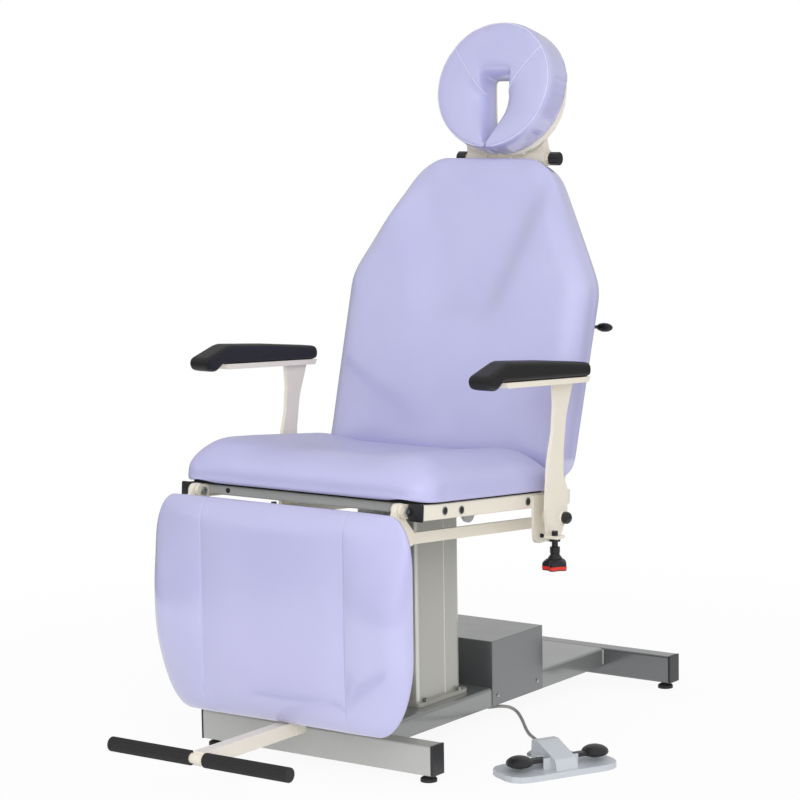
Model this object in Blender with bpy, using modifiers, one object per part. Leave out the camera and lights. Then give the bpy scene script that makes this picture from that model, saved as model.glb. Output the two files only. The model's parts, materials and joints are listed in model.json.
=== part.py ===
"""Ear, nose and throat chair with electric lift, linked backrest and legrest, and a foot control.

Metres, +Z up. The sitter looks along -Y, and left is the sitter's left, +X. The chair is drawn with X = 0
on its middle plane, Y = 0 on the front face of the front base bar and Z = 0 on the floor, under the empty
"chair", which then moves so that the middle of the chair's footprint is the world origin.
"""

import math

import bmesh
import bpy
from mathutils import Matrix, Vector

for old in list(bpy.data.objects):
    bpy.data.objects.remove(old, do_unlink=True)

# Clearances
GAP = 0.0003  # between faces that touch on the real chair
RUN_GAP = 0.0004  # round a pin, and beside a sliding face
SIDE_GAP = 0.0005  # beside a plate that turns

# Base
BAR_LENGTH = 0.570
BAR_HEIGHT = 0.060
BAR_DEPTH = 0.040
BAR_WALL = 0.0025
BAR_CORNER = 0.004
BASE_LENGTH = 0.945
END_CAP_THICKNESS = 0.005
END_CAP_PLUG = 0.010
FOOT_HEIGHT = 0.0145
FOOT_DIAMETER = 0.033
FOOT_DISC = 0.008
FOOT_EDGE = 0.0025
FOOT_NECK_DIAMETER = 0.016
FOOT_STEM_DIAMETER = 0.010
FOOT_STEM_REACH = 0.022
FOOT_STEM_TO_PLUG = 0.003
SPINE_WIDTH = 0.230
SPINE_HEIGHT = 0.040
SPINE_SHEET = 0.003
SPINE_BEND = 0.006

# Lift column
COLUMN_FRONT = 0.249
COLUMN_WIDTH = 0.156
COLUMN_DEPTH = 0.153
COLUMN_WALL = 0.004
COLUMN_CORNER = 0.012
COLUMN_TOP = 0.4575
COLUMN_GROOVE_SETBACK = 0.096
COLUMN_GROOVE_WIDTH = 0.005
COLUMN_GROOVE_DEPTH = 0.0015
FLANGE_RIM = 0.012
FLANGE_THICKNESS = 0.008
LIFT_STROKE = 0.200
INNER_OVERLAP = 0.140
INNER_STANDOUT = 0.012
INNER_WALL = 0.003
DRIVE_DIAMETER = 0.060
DRIVE_FOOT_DIAMETER = 0.095
DRIVE_FOOT_HEIGHT = 0.025
DRIVE_CLEAR_TOP = 0.110
SPINDLE_DIAMETER = 0.022
SPINDLE_ENGAGED = 0.030

# Control cover and cord
COVER_FRONT = 0.461
COVER_DEPTH = 0.194
COVER_TOP = 0.1725
COVER_SHEET = 0.0015
CONTROL_UNIT_SIZE = (0.150, 0.140, 0.075)
CONTROL_UNIT_SETBACK = 0.020
GLAND_PLACE = (0.078, 0.474)
GLAND_DIAMETER = 0.018
GLAND_NECK_DIAMETER = 0.012
GLAND_NUT = 0.004
GLAND_LENGTH = 0.020
CORD_DIAMETER = 0.007

# Foot control
PEDAL_PLACE = (0.4347, 0.2080)
PEDAL_TURN = math.radians(63.4)
PEDAL_LENGTH = 0.244
PEDAL_FRONT = 0.045
PEDAL_BACK = 0.065
PEDAL_CORNER = 0.036
PEDAL_PLATE = 0.012
PEDAL_BLOCK_WIDTH = 0.048
PEDAL_BLOCK_BACK_HEIGHT = 0.056
PEDAL_BLOCK_FRONT_HEIGHT = 0.032
PEDAL_REACH = 0.085
PEDAL_DOME_DIAMETER = 0.054
PEDAL_DOME_HEIGHT = 0.024
PEDAL_DOME_BASE = 0.019
PEDAL_ARM_WIDTH = 0.018
PEDAL_ARM_THICKNESS = 0.008
PEDAL_PIN_DIAMETER = 0.005
PEDAL_PIN_OFFSET = 0.010
PEDAL_LUG_THICKNESS = 0.004

# Seat frame, measured along and square to the seat, which tips up at the front
SEAT_TILT = math.radians(4.5)
SEAT_FRONT_Y = -0.030
SEAT_FRONT_Z = COLUMN_TOP + 0.056
SEAT_PAD_HALF_WIDTH = 0.303
RAIL_INSET = 0.011
RAIL_OUTSIDE = SEAT_PAD_HALF_WIDTH - RAIL_INSET
RAIL_WIDTH = 0.030
RAIL_INSIDE = RAIL_OUTSIDE - RAIL_WIDTH
RAIL_HEIGHT = 0.030
RAIL_WALL = 0.002
RAIL_LENGTH = 0.520
FRONT_TUBE_SETBACK = 0.012
CROSS_TUBE_DEPTH = 0.030
FRONT_TUBE_HEIGHT = 0.020
REAR_TUBE_SETBACK = 0.400
BRACKET_PLATE = 0.006
CHEEK_THICKNESS = 0.008
CHEEK_REAR_OVERHANG = 0.004
CHEEK_TOP_INSET = 0.003
SPRING_LUG_OFFSET = 0.044
LOBE_RIM = 0.010
SEAT_BOARD_THICKNESS = 0.008
SEAT_BOARD_INSET = 0.0125

# Hinges, levers and link bars
HINGE_HEIGHT = 0.017
LEGREST_HINGE_LEAD = 0.010
BACK_HINGE_SETBACK = 0.500
ARM_PLATE_TO_RAIL = 0.0115
ARM_PLATE_THICKNESS = 0.008
ARM_PLATE_OUTSIDE = RAIL_INSIDE - ARM_PLATE_TO_RAIL
ARM_PLATE_INSIDE = ARM_PLATE_OUTSIDE - ARM_PLATE_THICKNESS
HINGE_PIN_DIAMETER = 0.012
LUG_THICKNESS = 0.007
LUG_RADIUS = 0.015
LEVER_LENGTH = 0.065
LEVER_TRAIL = math.radians(30.0)
LEVER_EYE = 0.012
LINK_THICKNESS = 0.006
LINK_HEIGHT = 0.022
LINK_PIN_DIAMETER = 0.010

# Legrest and footrest, from the legrest hinge, with the pad hanging straight down
LEG_BOARD_BACK = -0.036
LEG_BOARD_THICKNESS = 0.008
LEG_BOARD_INSET = 0.016
LEG_PAD_TOP = 0.001
LEG_PAD_BOTTOM = -0.427
LEG_PAD_HALF_WIDTH = SEAT_PAD_HALF_WIDTH + 0.006
LEG_PAD_TOP_RUN = 0.090
LEG_PAD_TOP_DRAW = 0.052
LEG_PAD_FOOT_RUN = 0.170
LEG_PAD_FOOT_DRAW = 0.082
LEG_SIDE_PANEL = 0.131
LEG_PAD_SEAM = LEG_PAD_HALF_WIDTH - LEG_SIDE_PANEL
LEG_PAD_THICKNESS = 0.040
LEG_PAD_EDGE = 0.010
LEG_PAD_ROUND = 0.048
LEG_BOLSTER_RISE = 0.010
LEG_BOLSTER_RUN = 0.050
LEG_BOLSTER_END_RUN = 0.175
LEG_BOLSTER_END_FLAT = 0.045
LEG_BOLSTER_END_DROP = 0.032
LEG_SEAM_DEPTH = 0.006
LEG_SEAM_WIDTH = 0.012
LEG_ARM_FOOT = -0.340
LEG_ARM_WIDTH = 0.030
SLEEVE_SIZE = 0.036
SLEEVE_WALL = 0.0025
SLEEVE_TOP = -0.200
SLEEVE_BOTTOM = -0.400
STEM_TOP = -0.225
FOOT_ARM_REACH = 0.310
FOOT_ARM_HEIGHT = 0.028
FOOT_ARM_BELOW_PAD = 0.001
FOOT_BAR_DIAMETER = 0.020
FOOT_BAR_LENGTH = 0.420
GRIP_DIAMETER = 0.0285
GRIP_RIBS = 20
GRIP_RIB_DEPTH = 0.0013
GRIP_TO_ARM = 0.0025
GRIP_END_WALL = 0.004

# Seat cushion
SEAT_PAD_FRONT = -0.010
SEAT_PAD_BACK = 0.452
SEAT_PAD_CORNER = 0.055
SEAT_PAD_THICKNESS = 0.064
SEAT_PAD_EDGE = 0.020
SEAT_PAD_ROUND = 0.092
SEAT_PAD_SIDE_RISE = 0.013
SEAT_PAD_FRONT_RISE = 0.006
SEAT_PAD_FRONT_RUN = 0.100

# Backrest, from its hinge, along and square to the back
BACK_RECLINE = math.radians(15.8)
BACK_PAD_REAR = 0.022
BACK_PAD_BOTTOM = 0.030
BACK_PAD_TOP = 0.698
BACK_PAD_BOTTOM_HALF_WIDTH = SEAT_PAD_HALF_WIDTH - 0.006
BACK_PAD_SHOULDER_HALF_WIDTH = SEAT_PAD_HALF_WIDTH - 0.001
BACK_PAD_TOP_HALF_WIDTH = 0.155
BACK_PAD_SHOULDER = 0.434
BACK_PAD_BOTTOM_CORNER = 0.045
BACK_PAD_TOP_CORNER = 0.055
BACK_PAD_THICKNESS = 0.048
BACK_PAD_EDGE = 0.040
BACK_PAD_ROUND = 0.042
BACK_PAD_RISE = 0.030
BACK_WING_INSIDE = 0.106
BACK_WING_SLOPE = 0.33
BACK_WING_SOFT = 0.038
BACK_WING_FULL = 0.540
BACK_LUMBAR_FULL = 0.310
BACK_LUMBAR_TOP = 0.410
BACK_BOARD_THICKNESS = 0.010
BACK_BOARD_INSET = 0.022
BACK_ARM_TOP = 0.300
BACK_ARM_WIDTH = 0.028

# Headrest guide, post and ring
GUIDE_WIDTH = 0.038
GUIDE_DEPTH = 0.029
GUIDE_BOTTOM = 0.385
GUIDE_TOP = BACK_PAD_TOP - 0.038
GUIDE_MOUNT_THICKNESS = 0.005
GUIDE_MOUNT_RIM = 0.004
GUIDE_MOUNT_DROP = 0.030
POST_WIDTH = 0.030
POST_DEPTH = 0.012
POST_BOTTOM = 0.400
HEAD_PIVOT_BACK = 0.062
HEAD_PIVOT_UP = BACK_PAD_TOP + 0.015
HEAD_TUBE_DIAMETER = 0.020
HEAD_TUBE_LENGTH = 0.212
HEAD_ARM_INSIDE = 0.050
HEAD_ARM_WIDTH = 0.048
HEAD_PLATE_THICKNESS = 0.006
HEAD_PLATE_OFFSET = 0.0305
HEAD_PLATE_INSET = 0.001
HEAD_PLATE_LOBE = 0.010
HEAD_PLATE_SLOT_MARGIN = 0.004
HEAD_RING_RISE = 0.136
HEAD_RING_HALF_WIDTH = 0.142
HEAD_RING_HALF_HEIGHT = 0.137
HEAD_RING_THICKNESS = 0.066
HEAD_RING_EDGE = 0.050
HEAD_RING_SLOT_EDGE = 0.014
HEAD_SLOT_TOP = 0.021
HEAD_SLOT_BOTTOM = -0.124
HEAD_SLOT_TOP_HALF_WIDTH = 0.034
HEAD_SLOT_BOTTOM_HALF_WIDTH = 0.004
HEAD_KNOB_DIAMETER = 0.029
HEAD_KNOB_LENGTH = 0.020
HEAD_STUD_DIAMETER = 0.010
HEAD_STUD_LENGTH = 0.012

# Gas spring and release lever, from the backrest hinge
SPRING_HEAD_BACK = 0.075
SPRING_HEAD_UP = 0.330
SPRING_FOOT_SETBACK = 0.5196
SPRING_FOOT_DROP = 0.0384
SPRING_PIN_DIAMETER = 0.010
SPRING_EYE_WIDTH = 0.020
SPRING_EYE_DIAMETER = 0.022
CYLINDER_DIAMETER = 0.028
CYLINDER_BORE = 0.024
CYLINDER_LENGTH = 0.220
CYLINDER_BORE_FROM = 0.100
ROD_DIAMETER = 0.008
ROD_LENGTH = 0.205
RELEASE_TIP = 0.0215
SPRING_FORK_WALL = 0.004
LEVER_PIVOT_X = 0.040
LEVER_UP = 0.362
LEVER_BACK = 0.080
LEVER_ROD_DIAMETER = 0.008
LEVER_ROD_END = BACK_PAD_SHOULDER_HALF_WIDTH - 0.014
LEVER_PIN_DIAMETER = 0.008
LEVER_BOSS_DIAMETER = 0.020
LEVER_FINGER = 0.046
LEVER_KNOB_START = LEVER_ROD_END - 0.025
LEVER_KNOB_LENGTH = 0.038
LEVER_KNOB_DIAMETER = 0.019

# Armrests, from their pivots, which hang below the seat rails
ARM_PIVOT_SETBACK = 0.4206
ARM_PIVOT_DROP = 0.0171
ARM_POST_TO_SEAT = 0.027
ARM_POST_INSIDE = SEAT_PAD_HALF_WIDTH + ARM_POST_TO_SEAT
ARM_POST_THICKNESS = 0.008
ARM_POST_DEPTH = 0.076
ARM_HEIGHT = 0.2766
ARM_BRACKET_THICKNESS = 0.006
ARM_BOSS_DIAMETER = 0.030
ARM_PIN_DIAMETER = 0.010
ARM_PIN_STANDOUT = 0.007
ARM_PAD_WIDTH = 0.050
ARM_PAD_OFFSET = 0.008
ARM_PAD_LENGTH = 0.3774
ARM_PAD_THICKNESS = 0.040
ARM_PAD_OVERHANG = 0.070
ARM_PAD_TILT = math.radians(3.62)
ARM_PAD_ROUND = 0.007
ARM_TRAY_WIDTH = 0.046
ARM_TRAY_THICKNESS = 0.0108
ARM_TRAY_INSET = 0.003
ARM_TRAY_BEVEL = 0.008
LOCK_KNOB_OFFSET = 0.022
LOCK_KNOB_LEAD = 0.052
LOCK_KNOB_DIAMETER = 0.051
LOCK_KNOB_LOBES = 5
LOCK_KNOB_HEIGHT = 0.0215
LOCK_NECK_DIAMETER = 0.028
LOCK_NECK_HEIGHT = 0.0125
LOCK_NUT_DIAMETER = 0.020
LOCK_NUT_HEIGHT = 0.0115
LOCK_WASHER_DIAMETER = 0.022
LOCK_WASHER_THICKNESS = 0.005
LOCK_STEM_DIAMETER = 0.0124
LOCK_STEM_SHOWN = 0.0115
LOCK_STEM_STANDOUT = 0.009
LOCK_TAB_DROP = 0.033
LOCK_TAB_THICKNESS = 0.006
LOCK_TAB_FRONT = 0.012
LOCK_TAB_REAR = 0.016
LOCK_TAB_OUTSIDE = 0.014

SIDES = (("left", 1), ("right", -1))

# How an outline drawn in x, y stands in the chair, with its thickness along the third axis
FLAT = Matrix.Identity(4)
SIDE = Matrix(((0, 0, 1, 0), (1, 0, 0, 0), (0, 1, 0, 0), (0, 0, 0, 1)))
FRONT = Matrix(((1, 0, 0, 0), (0, 0, -1, 0), (0, 1, 0, 0), (0, 0, 0, 1)))

parts = bpy.data.collections.new("ent_chair")
bpy.context.scene.collection.children.link(parts)


# Shape tools


def circle(centre, radius, steps=12):
    """Points of a round outline."""
    turns = [2 * math.pi * i / steps for i in range(steps)]
    return [(centre[0] + radius * math.cos(t), centre[1] + radius * math.sin(t)) for t in turns]


def rounded(corners, steps=3):
    """An outline through corners (x, y, radius), each rounded by an arc that its two sides leave room for."""
    outline = []
    for i, (x, y, radius) in enumerate(corners):
        here = Vector((x, y))
        before = Vector(corners[i - 1][:2]) - here
        after = Vector(corners[(i + 1) % len(corners)][:2]) - here
        room = 0.49 * min(before.length, after.length)
        before.normalize()
        after.normalize()
        half = before.angle(after) / 2
        reach = min(radius / math.tan(half), room) if radius else 0
        if reach < 1e-5:
            outline.append((x, y))
            continue
        radius = reach * math.tan(half)
        centre = here + (before + after).normalized() * (radius / math.sin(half))
        start = here + before * reach - centre
        turn = math.pi - 2 * half
        if before.cross(after) > 0:
            turn = -turn
        for step in range(steps + 1):
            point = centre + Matrix.Rotation(turn * step / steps, 2) @ start
            outline.append((point.x, point.y))
    return outline


def rectangle(left, bottom, right, top, radius=0.0):
    """A rectangle's outline with round corners."""
    corners = ((left, bottom), (right, bottom), (right, top), (left, top))
    return rounded([(x, y, radius) for x, y in corners])


def add_object(mesh):
    """A new object of the chair, at the origin of the frame it is drawn in."""
    made = bpy.data.objects.new(mesh.name, mesh)
    parts.objects.link(made)
    return made


def from_bmesh(shape):
    """An object from a bmesh, with its faces turned outwards."""
    bmesh.ops.recalc_face_normals(shape, faces=shape.faces)
    mesh = bpy.data.meshes.new("shape")
    shape.to_mesh(mesh)
    shape.free()
    return add_object(mesh)


def evaluated_mesh(source):
    """The mesh of an object with its modifiers applied, and its caps welded on."""
    bpy.context.view_layer.update()
    graph = bpy.context.evaluated_depsgraph_get()
    mesh = bpy.data.meshes.new_from_object(source.evaluated_get(graph))
    shape = bmesh.new()
    shape.from_mesh(mesh)
    bmesh.ops.remove_doubles(shape, verts=shape.verts, dist=1e-6)
    shape.to_mesh(mesh)
    shape.free()
    return mesh


def extruded(outline, thickness, stand=FLAT, centre=(0, 0, 0), holes=(), rounding=0.0):
    """A flat outline, with holes, given a thickness about its own plane, and its rims rounded."""
    curve = bpy.data.curves.new("outline", "CURVE")
    curve.dimensions = "2D"
    curve.fill_mode = "BOTH"
    curve.extrude = thickness / 2 - rounding
    curve.bevel_depth = rounding
    curve.bevel_resolution = 1
    curve.offset = -rounding
    for points in (outline, *holes):
        spline = curve.splines.new("POLY")
        spline.points.add(len(points) - 1)
        for point, (x, y) in zip(spline.points, points):
            point.co = (x, y, 0, 1)
        spline.use_cyclic_u = True
    drawn = bpy.data.objects.new("outline", curve)
    parts.objects.link(drawn)
    mesh = evaluated_mesh(drawn)
    bpy.data.objects.remove(drawn)
    mesh.transform(Matrix.Translation(centre) @ stand)
    return add_object(mesh)


def box(low, high, bevel=0.0):
    """A block between two corners, with its edges rounded."""
    low, high = Vector(low), Vector(high)
    shape = bmesh.new()
    bmesh.ops.create_cube(shape, size=1.0)
    bmesh.ops.scale(shape, vec=high - low, verts=shape.verts)
    bmesh.ops.translate(shape, vec=(low + high) / 2, verts=shape.verts)
    if bevel:
        bmesh.ops.bevel(shape, geom=shape.edges, offset=bevel, segments=2, profile=0.5, affect="EDGES")
    return from_bmesh(shape)


def rod(start, end, diameter, sides=12):
    """A round bar between two points."""
    start, end = Vector(start), Vector(end)
    along = end - start
    shape = bmesh.new()
    bmesh.ops.create_cone(
        shape,
        cap_ends=True,
        segments=sides,
        radius1=diameter / 2,
        radius2=diameter / 2,
        depth=along.length,
        matrix=Matrix.Translation((start + end) / 2) @ along.to_track_quat("Z", "Y").to_matrix().to_4x4(),
    )
    return from_bmesh(shape)


def turned(profile, foot=(0, 0, 0), along=(0, 0, 1), steps=20):
    """A shape turned about an axis from a profile (radius, height) that starts and ends on the axis."""
    mesh = bpy.data.meshes.new("profile")
    points = [(radius, 0, height) for radius, height in profile]
    mesh.from_pydata(points, [(i, i + 1) for i in range(len(points) - 1)], [])
    blank = add_object(mesh)
    screw = blank.modifiers.new("turn", "SCREW")
    screw.steps = steps
    screw.render_steps = steps
    screw.use_merge_vertices = True
    screw.merge_threshold = 1e-6
    made = evaluated_mesh(blank)
    bpy.data.objects.remove(blank)
    made.transform(Matrix.Translation(foot) @ Vector(along).to_track_quat("Z", "Y").to_matrix().to_4x4())
    shape = bmesh.new()
    shape.from_mesh(made)
    return from_bmesh(shape)


def combined(target, others, operation):
    """One object from several by a Boolean, which uses the others up."""
    for other in others:
        step = target.modifiers.new("step", "BOOLEAN")
        step.operation = operation
        step.solver = "EXACT"
        step.object = other
        mesh = evaluated_mesh(target)
        target.modifiers.remove(step)
        target.data = mesh
        bpy.data.objects.remove(other)
    return target


def fused(target, *others):
    """Pieces that are welded or moulded in one."""
    return combined(target, others, "UNION")


def cut(target, *cutters):
    """A piece with material taken out."""
    return combined(target, cutters, "DIFFERENCE")


def empty(name, parent=None, location=(0, 0, 0), tip=0.0, turn=0.0):
    """A frame that pieces are parented to: the axis of a joint, or the place of a fixed group."""
    frame = bpy.data.objects.new(name, None)
    frame.empty_display_size = 0.05
    parts.objects.link(frame)
    frame.parent = parent
    frame.location = location
    frame.rotation_euler = (tip, 0, turn)
    bpy.context.view_layer.update()
    return frame


def place(shape, name, parent, finish, drawn_in=None):
    """Names a piece, gives it a finish and parents it. It is drawn in its parent's frame or in another."""
    shape.name = name
    shape.data.name = name
    shape.parent = parent
    if drawn_in:
        shape.matrix_parent_inverse = parent.matrix_world.inverted() @ drawn_in.matrix_world
    shape.data.materials.clear()
    shape.data.materials.append(finish)
    shape.data.shade_smooth()
    shape.data.set_sharp_from_angle(angle=math.radians(35))
    return shape


def finish(name, colour, roughness, metallic=0.0):
    """A plain surface finish."""
    made = bpy.data.materials.new(name)
    made.use_nodes = True
    surface = made.node_tree.nodes["Principled BSDF"]
    surface.inputs["Base Color"].default_value = (*colour, 1.0)
    surface.inputs["Roughness"].default_value = roughness
    surface.inputs["Metallic"].default_value = metallic
    return made


CREAM_PAINT = finish("cream_paint", (0.79, 0.74, 0.65), 0.4)
GREY_STEEL = finish("grey_metallic_paint", (0.36, 0.36, 0.34), 0.4, 0.6)
COVER_STEEL = finish("cover_grey_paint", (0.17, 0.18, 0.175), 0.45, 0.5)
BRIGHT_STEEL = finish("bright_steel", (0.6, 0.6, 0.6), 0.25, 1.0)
BLACK_PLASTIC = finish("black_plastic", (0.022, 0.022, 0.024), 0.45)
BLACK_PAD = finish("black_moulded_foam", (0.022, 0.022, 0.024), 0.55)
BLACK_RUBBER = finish("black_rubber", (0.02, 0.02, 0.02), 0.65)
LINING = finish("black_board_lining", (0.015, 0.015, 0.017), 0.8)
LEATHERETTE = finish("lavender_leatherette", (0.50, 0.49, 0.74), 0.5)
PEDAL_PLASTIC = finish("grey_pedal_plastic", (0.40, 0.42, 0.46), 0.5)
CORD_GREY = finish("grey_cord", (0.25, 0.25, 0.25), 0.6)

chair = empty("chair")


# Base bars, end caps and levelling feet

FOOT_X = BAR_LENGTH / 2 - END_CAP_THICKNESS - END_CAP_PLUG - FOOT_STEM_DIAMETER / 2
FOOT_X -= FOOT_STEM_TO_PLUG
BAR_TOP = FOOT_HEIGHT + BAR_HEIGHT
REAR_BAR = BASE_LENGTH - BAR_DEPTH


def base_bar(name, front):
    tube_length = BAR_LENGTH - 2 * (END_CAP_THICKNESS + GAP)
    outline = rectangle(front, FOOT_HEIGHT, front + BAR_DEPTH, BAR_TOP, BAR_CORNER)
    bore = rectangle(
        front + BAR_WALL,
        FOOT_HEIGHT + BAR_WALL,
        front + BAR_DEPTH - BAR_WALL,
        BAR_TOP - BAR_WALL,
        max(BAR_CORNER - BAR_WALL, 0),
    )
    tube = extruded(outline, tube_length, SIDE, holes=[bore])
    middle = front + BAR_DEPTH / 2
    for x in (FOOT_X, -FOOT_X):
        below, above = (x, middle, FOOT_HEIGHT - BAR_WALL), (x, middle, FOOT_HEIGHT + 2 * BAR_WALL)
        tube = cut(tube, rod(below, above, FOOT_STEM_DIAMETER + 2 * GAP))
    place(tube, name, chair, GREY_STEEL)


def end_cap(name, side, front):
    outside = side * BAR_LENGTH / 2
    inside = side * (BAR_LENGTH / 2 - END_CAP_THICKNESS)
    plug_end = inside - side * END_CAP_PLUG
    inset = BAR_WALL + GAP
    plate = box(
        (min(inside, outside), front, FOOT_HEIGHT), (max(inside, outside), front + BAR_DEPTH, BAR_TOP), 0.0012
    )
    root = inside + side * END_CAP_THICKNESS / 2
    plug = box(
        (min(root, plug_end), front + inset, FOOT_HEIGHT + inset),
        (max(root, plug_end), front + BAR_DEPTH - inset, BAR_TOP - inset),
        0.001,
    )
    place(fused(plate, plug), name, chair, BLACK_PLASTIC)


def levelling_foot(name, x, y):
    neck_bottom = FOOT_DISC + FOOT_EDGE
    profile = (
        (0, FOOT_HEIGHT + FOOT_STEM_REACH),
        (FOOT_STEM_DIAMETER / 2, FOOT_HEIGHT + FOOT_STEM_REACH),
        (FOOT_STEM_DIAMETER / 2, FOOT_HEIGHT - GAP),
        (FOOT_NECK_DIAMETER / 2, FOOT_HEIGHT - GAP),
        (FOOT_NECK_DIAMETER / 2, neck_bottom),
        (FOOT_DIAMETER / 2 - FOOT_EDGE, FOOT_DISC),
        (FOOT_DIAMETER / 2, FOOT_DISC - FOOT_EDGE),
        (FOOT_DIAMETER / 2, 0),
        (0, 0),
    )
    axis = empty(name + "_axis", chair, (x, y, 0))
    place(turned(profile, steps=16), name, axis, BLACK_PLASTIC)


for row, front in (("front", 0.0), ("rear", REAR_BAR)):
    base_bar(row + "_base_bar", front)
    for hand, side in SIDES:
        end_cap(f"end_cap_{row}_{hand}", side, front)
        levelling_foot(f"levelling_foot_{row}_{hand}", side * FOOT_X, front + BAR_DEPTH / 2)


# Spine, an upside-down channel between the bars

SPINE_BOTTOM = BAR_TOP - SPINE_HEIGHT
half_spine = SPINE_WIDTH / 2
inner_bend = SPINE_BEND - SPINE_SHEET
spine_outline = rounded(
    (
        (-half_spine, SPINE_BOTTOM, 0),
        (-half_spine + SPINE_SHEET, SPINE_BOTTOM, 0),
        (-half_spine + SPINE_SHEET, BAR_TOP - SPINE_SHEET, inner_bend),
        (half_spine - SPINE_SHEET, BAR_TOP - SPINE_SHEET, inner_bend),
        (half_spine - SPINE_SHEET, SPINE_BOTTOM, 0),
        (half_spine, SPINE_BOTTOM, 0),
        (half_spine, BAR_TOP, SPINE_BEND),
        (-half_spine, BAR_TOP, SPINE_BEND),
    ),
    4,
)
spine_length = REAR_BAR - BAR_DEPTH - 2 * GAP
spine = extruded(spine_outline, spine_length, FRONT, (0, (REAR_BAR + BAR_DEPTH) / 2, 0))
gland_hole = rod(
    (*GLAND_PLACE, BAR_TOP - 2 * SPINE_SHEET),
    (*GLAND_PLACE, BAR_TOP + SPINE_SHEET),
    GLAND_NECK_DIAMETER + 2 * GAP,
)
place(cut(spine, gland_hole), "base_spine", chair, GREY_STEEL)


# Lift column: the outer section with its flange, and the drive that stands inside it

COLUMN_REAR = COLUMN_FRONT + COLUMN_DEPTH
COLUMN_MIDDLE = COLUMN_FRONT + COLUMN_DEPTH / 2
COLUMN_FOOT = BAR_TOP + GAP
half_column = COLUMN_WIDTH / 2
groove = COLUMN_FRONT + COLUMN_GROOVE_SETBACK
groove_near = groove - COLUMN_GROOVE_WIDTH / 2
groove_far = groove + COLUMN_GROOVE_WIDTH / 2
groove_floor = half_column - COLUMN_GROOVE_DEPTH
column_outline = rounded(
    (
        (-half_column, COLUMN_FRONT, COLUMN_CORNER),
        (half_column, COLUMN_FRONT, COLUMN_CORNER),
        (half_column, groove_near, 0),
        (groove_floor, groove_near, 0),
        (groove_floor, groove_far, 0),
        (half_column, groove_far, 0),
        (half_column, COLUMN_REAR, COLUMN_CORNER),
        (-half_column, COLUMN_REAR, COLUMN_CORNER),
        (-half_column, groove_far, 0),
        (-groove_floor, groove_far, 0),
        (-groove_floor, groove_near, 0),
        (-half_column, groove_near, 0),
    )
)


def column_bore(inset):
    """The outline of the column's inside, drawn in by a further inset."""
    off = COLUMN_WALL + inset
    return rectangle(
        -half_column + off,
        COLUMN_FRONT + off,
        half_column - off,
        COLUMN_REAR - off,
        max(COLUMN_CORNER - off, 0.001),
    )


column_height = COLUMN_TOP - COLUMN_FOOT
column = extruded(
    column_outline, column_height, FLAT, (0, 0, COLUMN_FOOT + column_height / 2), holes=[column_bore(0)]
)
flange = extruded(
    rectangle(
        -half_column - FLANGE_RIM,
        COLUMN_FRONT - FLANGE_RIM,
        half_column + FLANGE_RIM,
        COLUMN_REAR + FLANGE_RIM,
        COLUMN_CORNER,
    ),
    FLANGE_THICKNESS,
    FLAT,
    (0, 0, COLUMN_FOOT + FLANGE_THICKNESS / 2),
    holes=[column_bore(-COLUMN_WALL / 2)],
)
place(fused(column, flange), "column_outer", chair, GREY_STEEL)

DRIVE_TOP = COLUMN_TOP - DRIVE_CLEAR_TOP
SPINDLE_TOP = COLUMN_TOP + INNER_STANDOUT
SPINDLE_FOOT = DRIVE_TOP - SPINDLE_ENGAGED - LIFT_STROKE
drive_bore = SPINDLE_DIAMETER / 2 + RUN_GAP
drive_profile = (
    (0, SPINDLE_FOOT - 0.005),
    (drive_bore, SPINDLE_FOOT - 0.005),
    (drive_bore, DRIVE_TOP),
    (DRIVE_DIAMETER / 2 - 0.004, DRIVE_TOP),
    (DRIVE_DIAMETER / 2, DRIVE_TOP - 0.004),
    (DRIVE_DIAMETER / 2, COLUMN_FOOT + DRIVE_FOOT_HEIGHT),
    (DRIVE_FOOT_DIAMETER / 2, COLUMN_FOOT + DRIVE_FOOT_HEIGHT),
    (DRIVE_FOOT_DIAMETER / 2, COLUMN_FOOT),
    (0, COLUMN_FOOT),
)
place(turned(drive_profile, (0, COLUMN_MIDDLE, 0)), "lift_drive", chair, BLACK_PLASTIC)


# Control unit under its folded cover, and the gland that the pedal cord leaves by

cover_half = half_spine + GAP
COVER_REAR = COVER_FRONT + COVER_DEPTH
cover = box(
    (-cover_half - COVER_SHEET, COVER_FRONT, SPINE_BOTTOM),
    (cover_half + COVER_SHEET, COVER_REAR, COVER_TOP),
    0.001,
)
cover_inside = box(
    (-cover_half, COVER_FRONT + COVER_SHEET, SPINE_BOTTOM - COVER_SHEET),
    (cover_half, COVER_REAR - COVER_SHEET, COVER_TOP - COVER_SHEET),
)
cover_ends = box(
    (-cover_half, COVER_FRONT - COVER_SHEET, SPINE_BOTTOM - 2 * COVER_SHEET),
    (cover_half, COVER_REAR + COVER_SHEET, BAR_TOP + GAP),
)
place(cut(cover, cover_inside, cover_ends), "control_cover", chair, COVER_STEEL)

unit_width, unit_depth, unit_height = CONTROL_UNIT_SIZE
unit_rear = COVER_REAR - CONTROL_UNIT_SETBACK
control_unit = box(
    (-unit_width / 2, unit_rear - unit_depth, BAR_TOP + GAP),
    (unit_width / 2, unit_rear, BAR_TOP + GAP + unit_height),
    0.004,
)
place(control_unit, "control_unit", chair, BLACK_PLASTIC)

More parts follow.
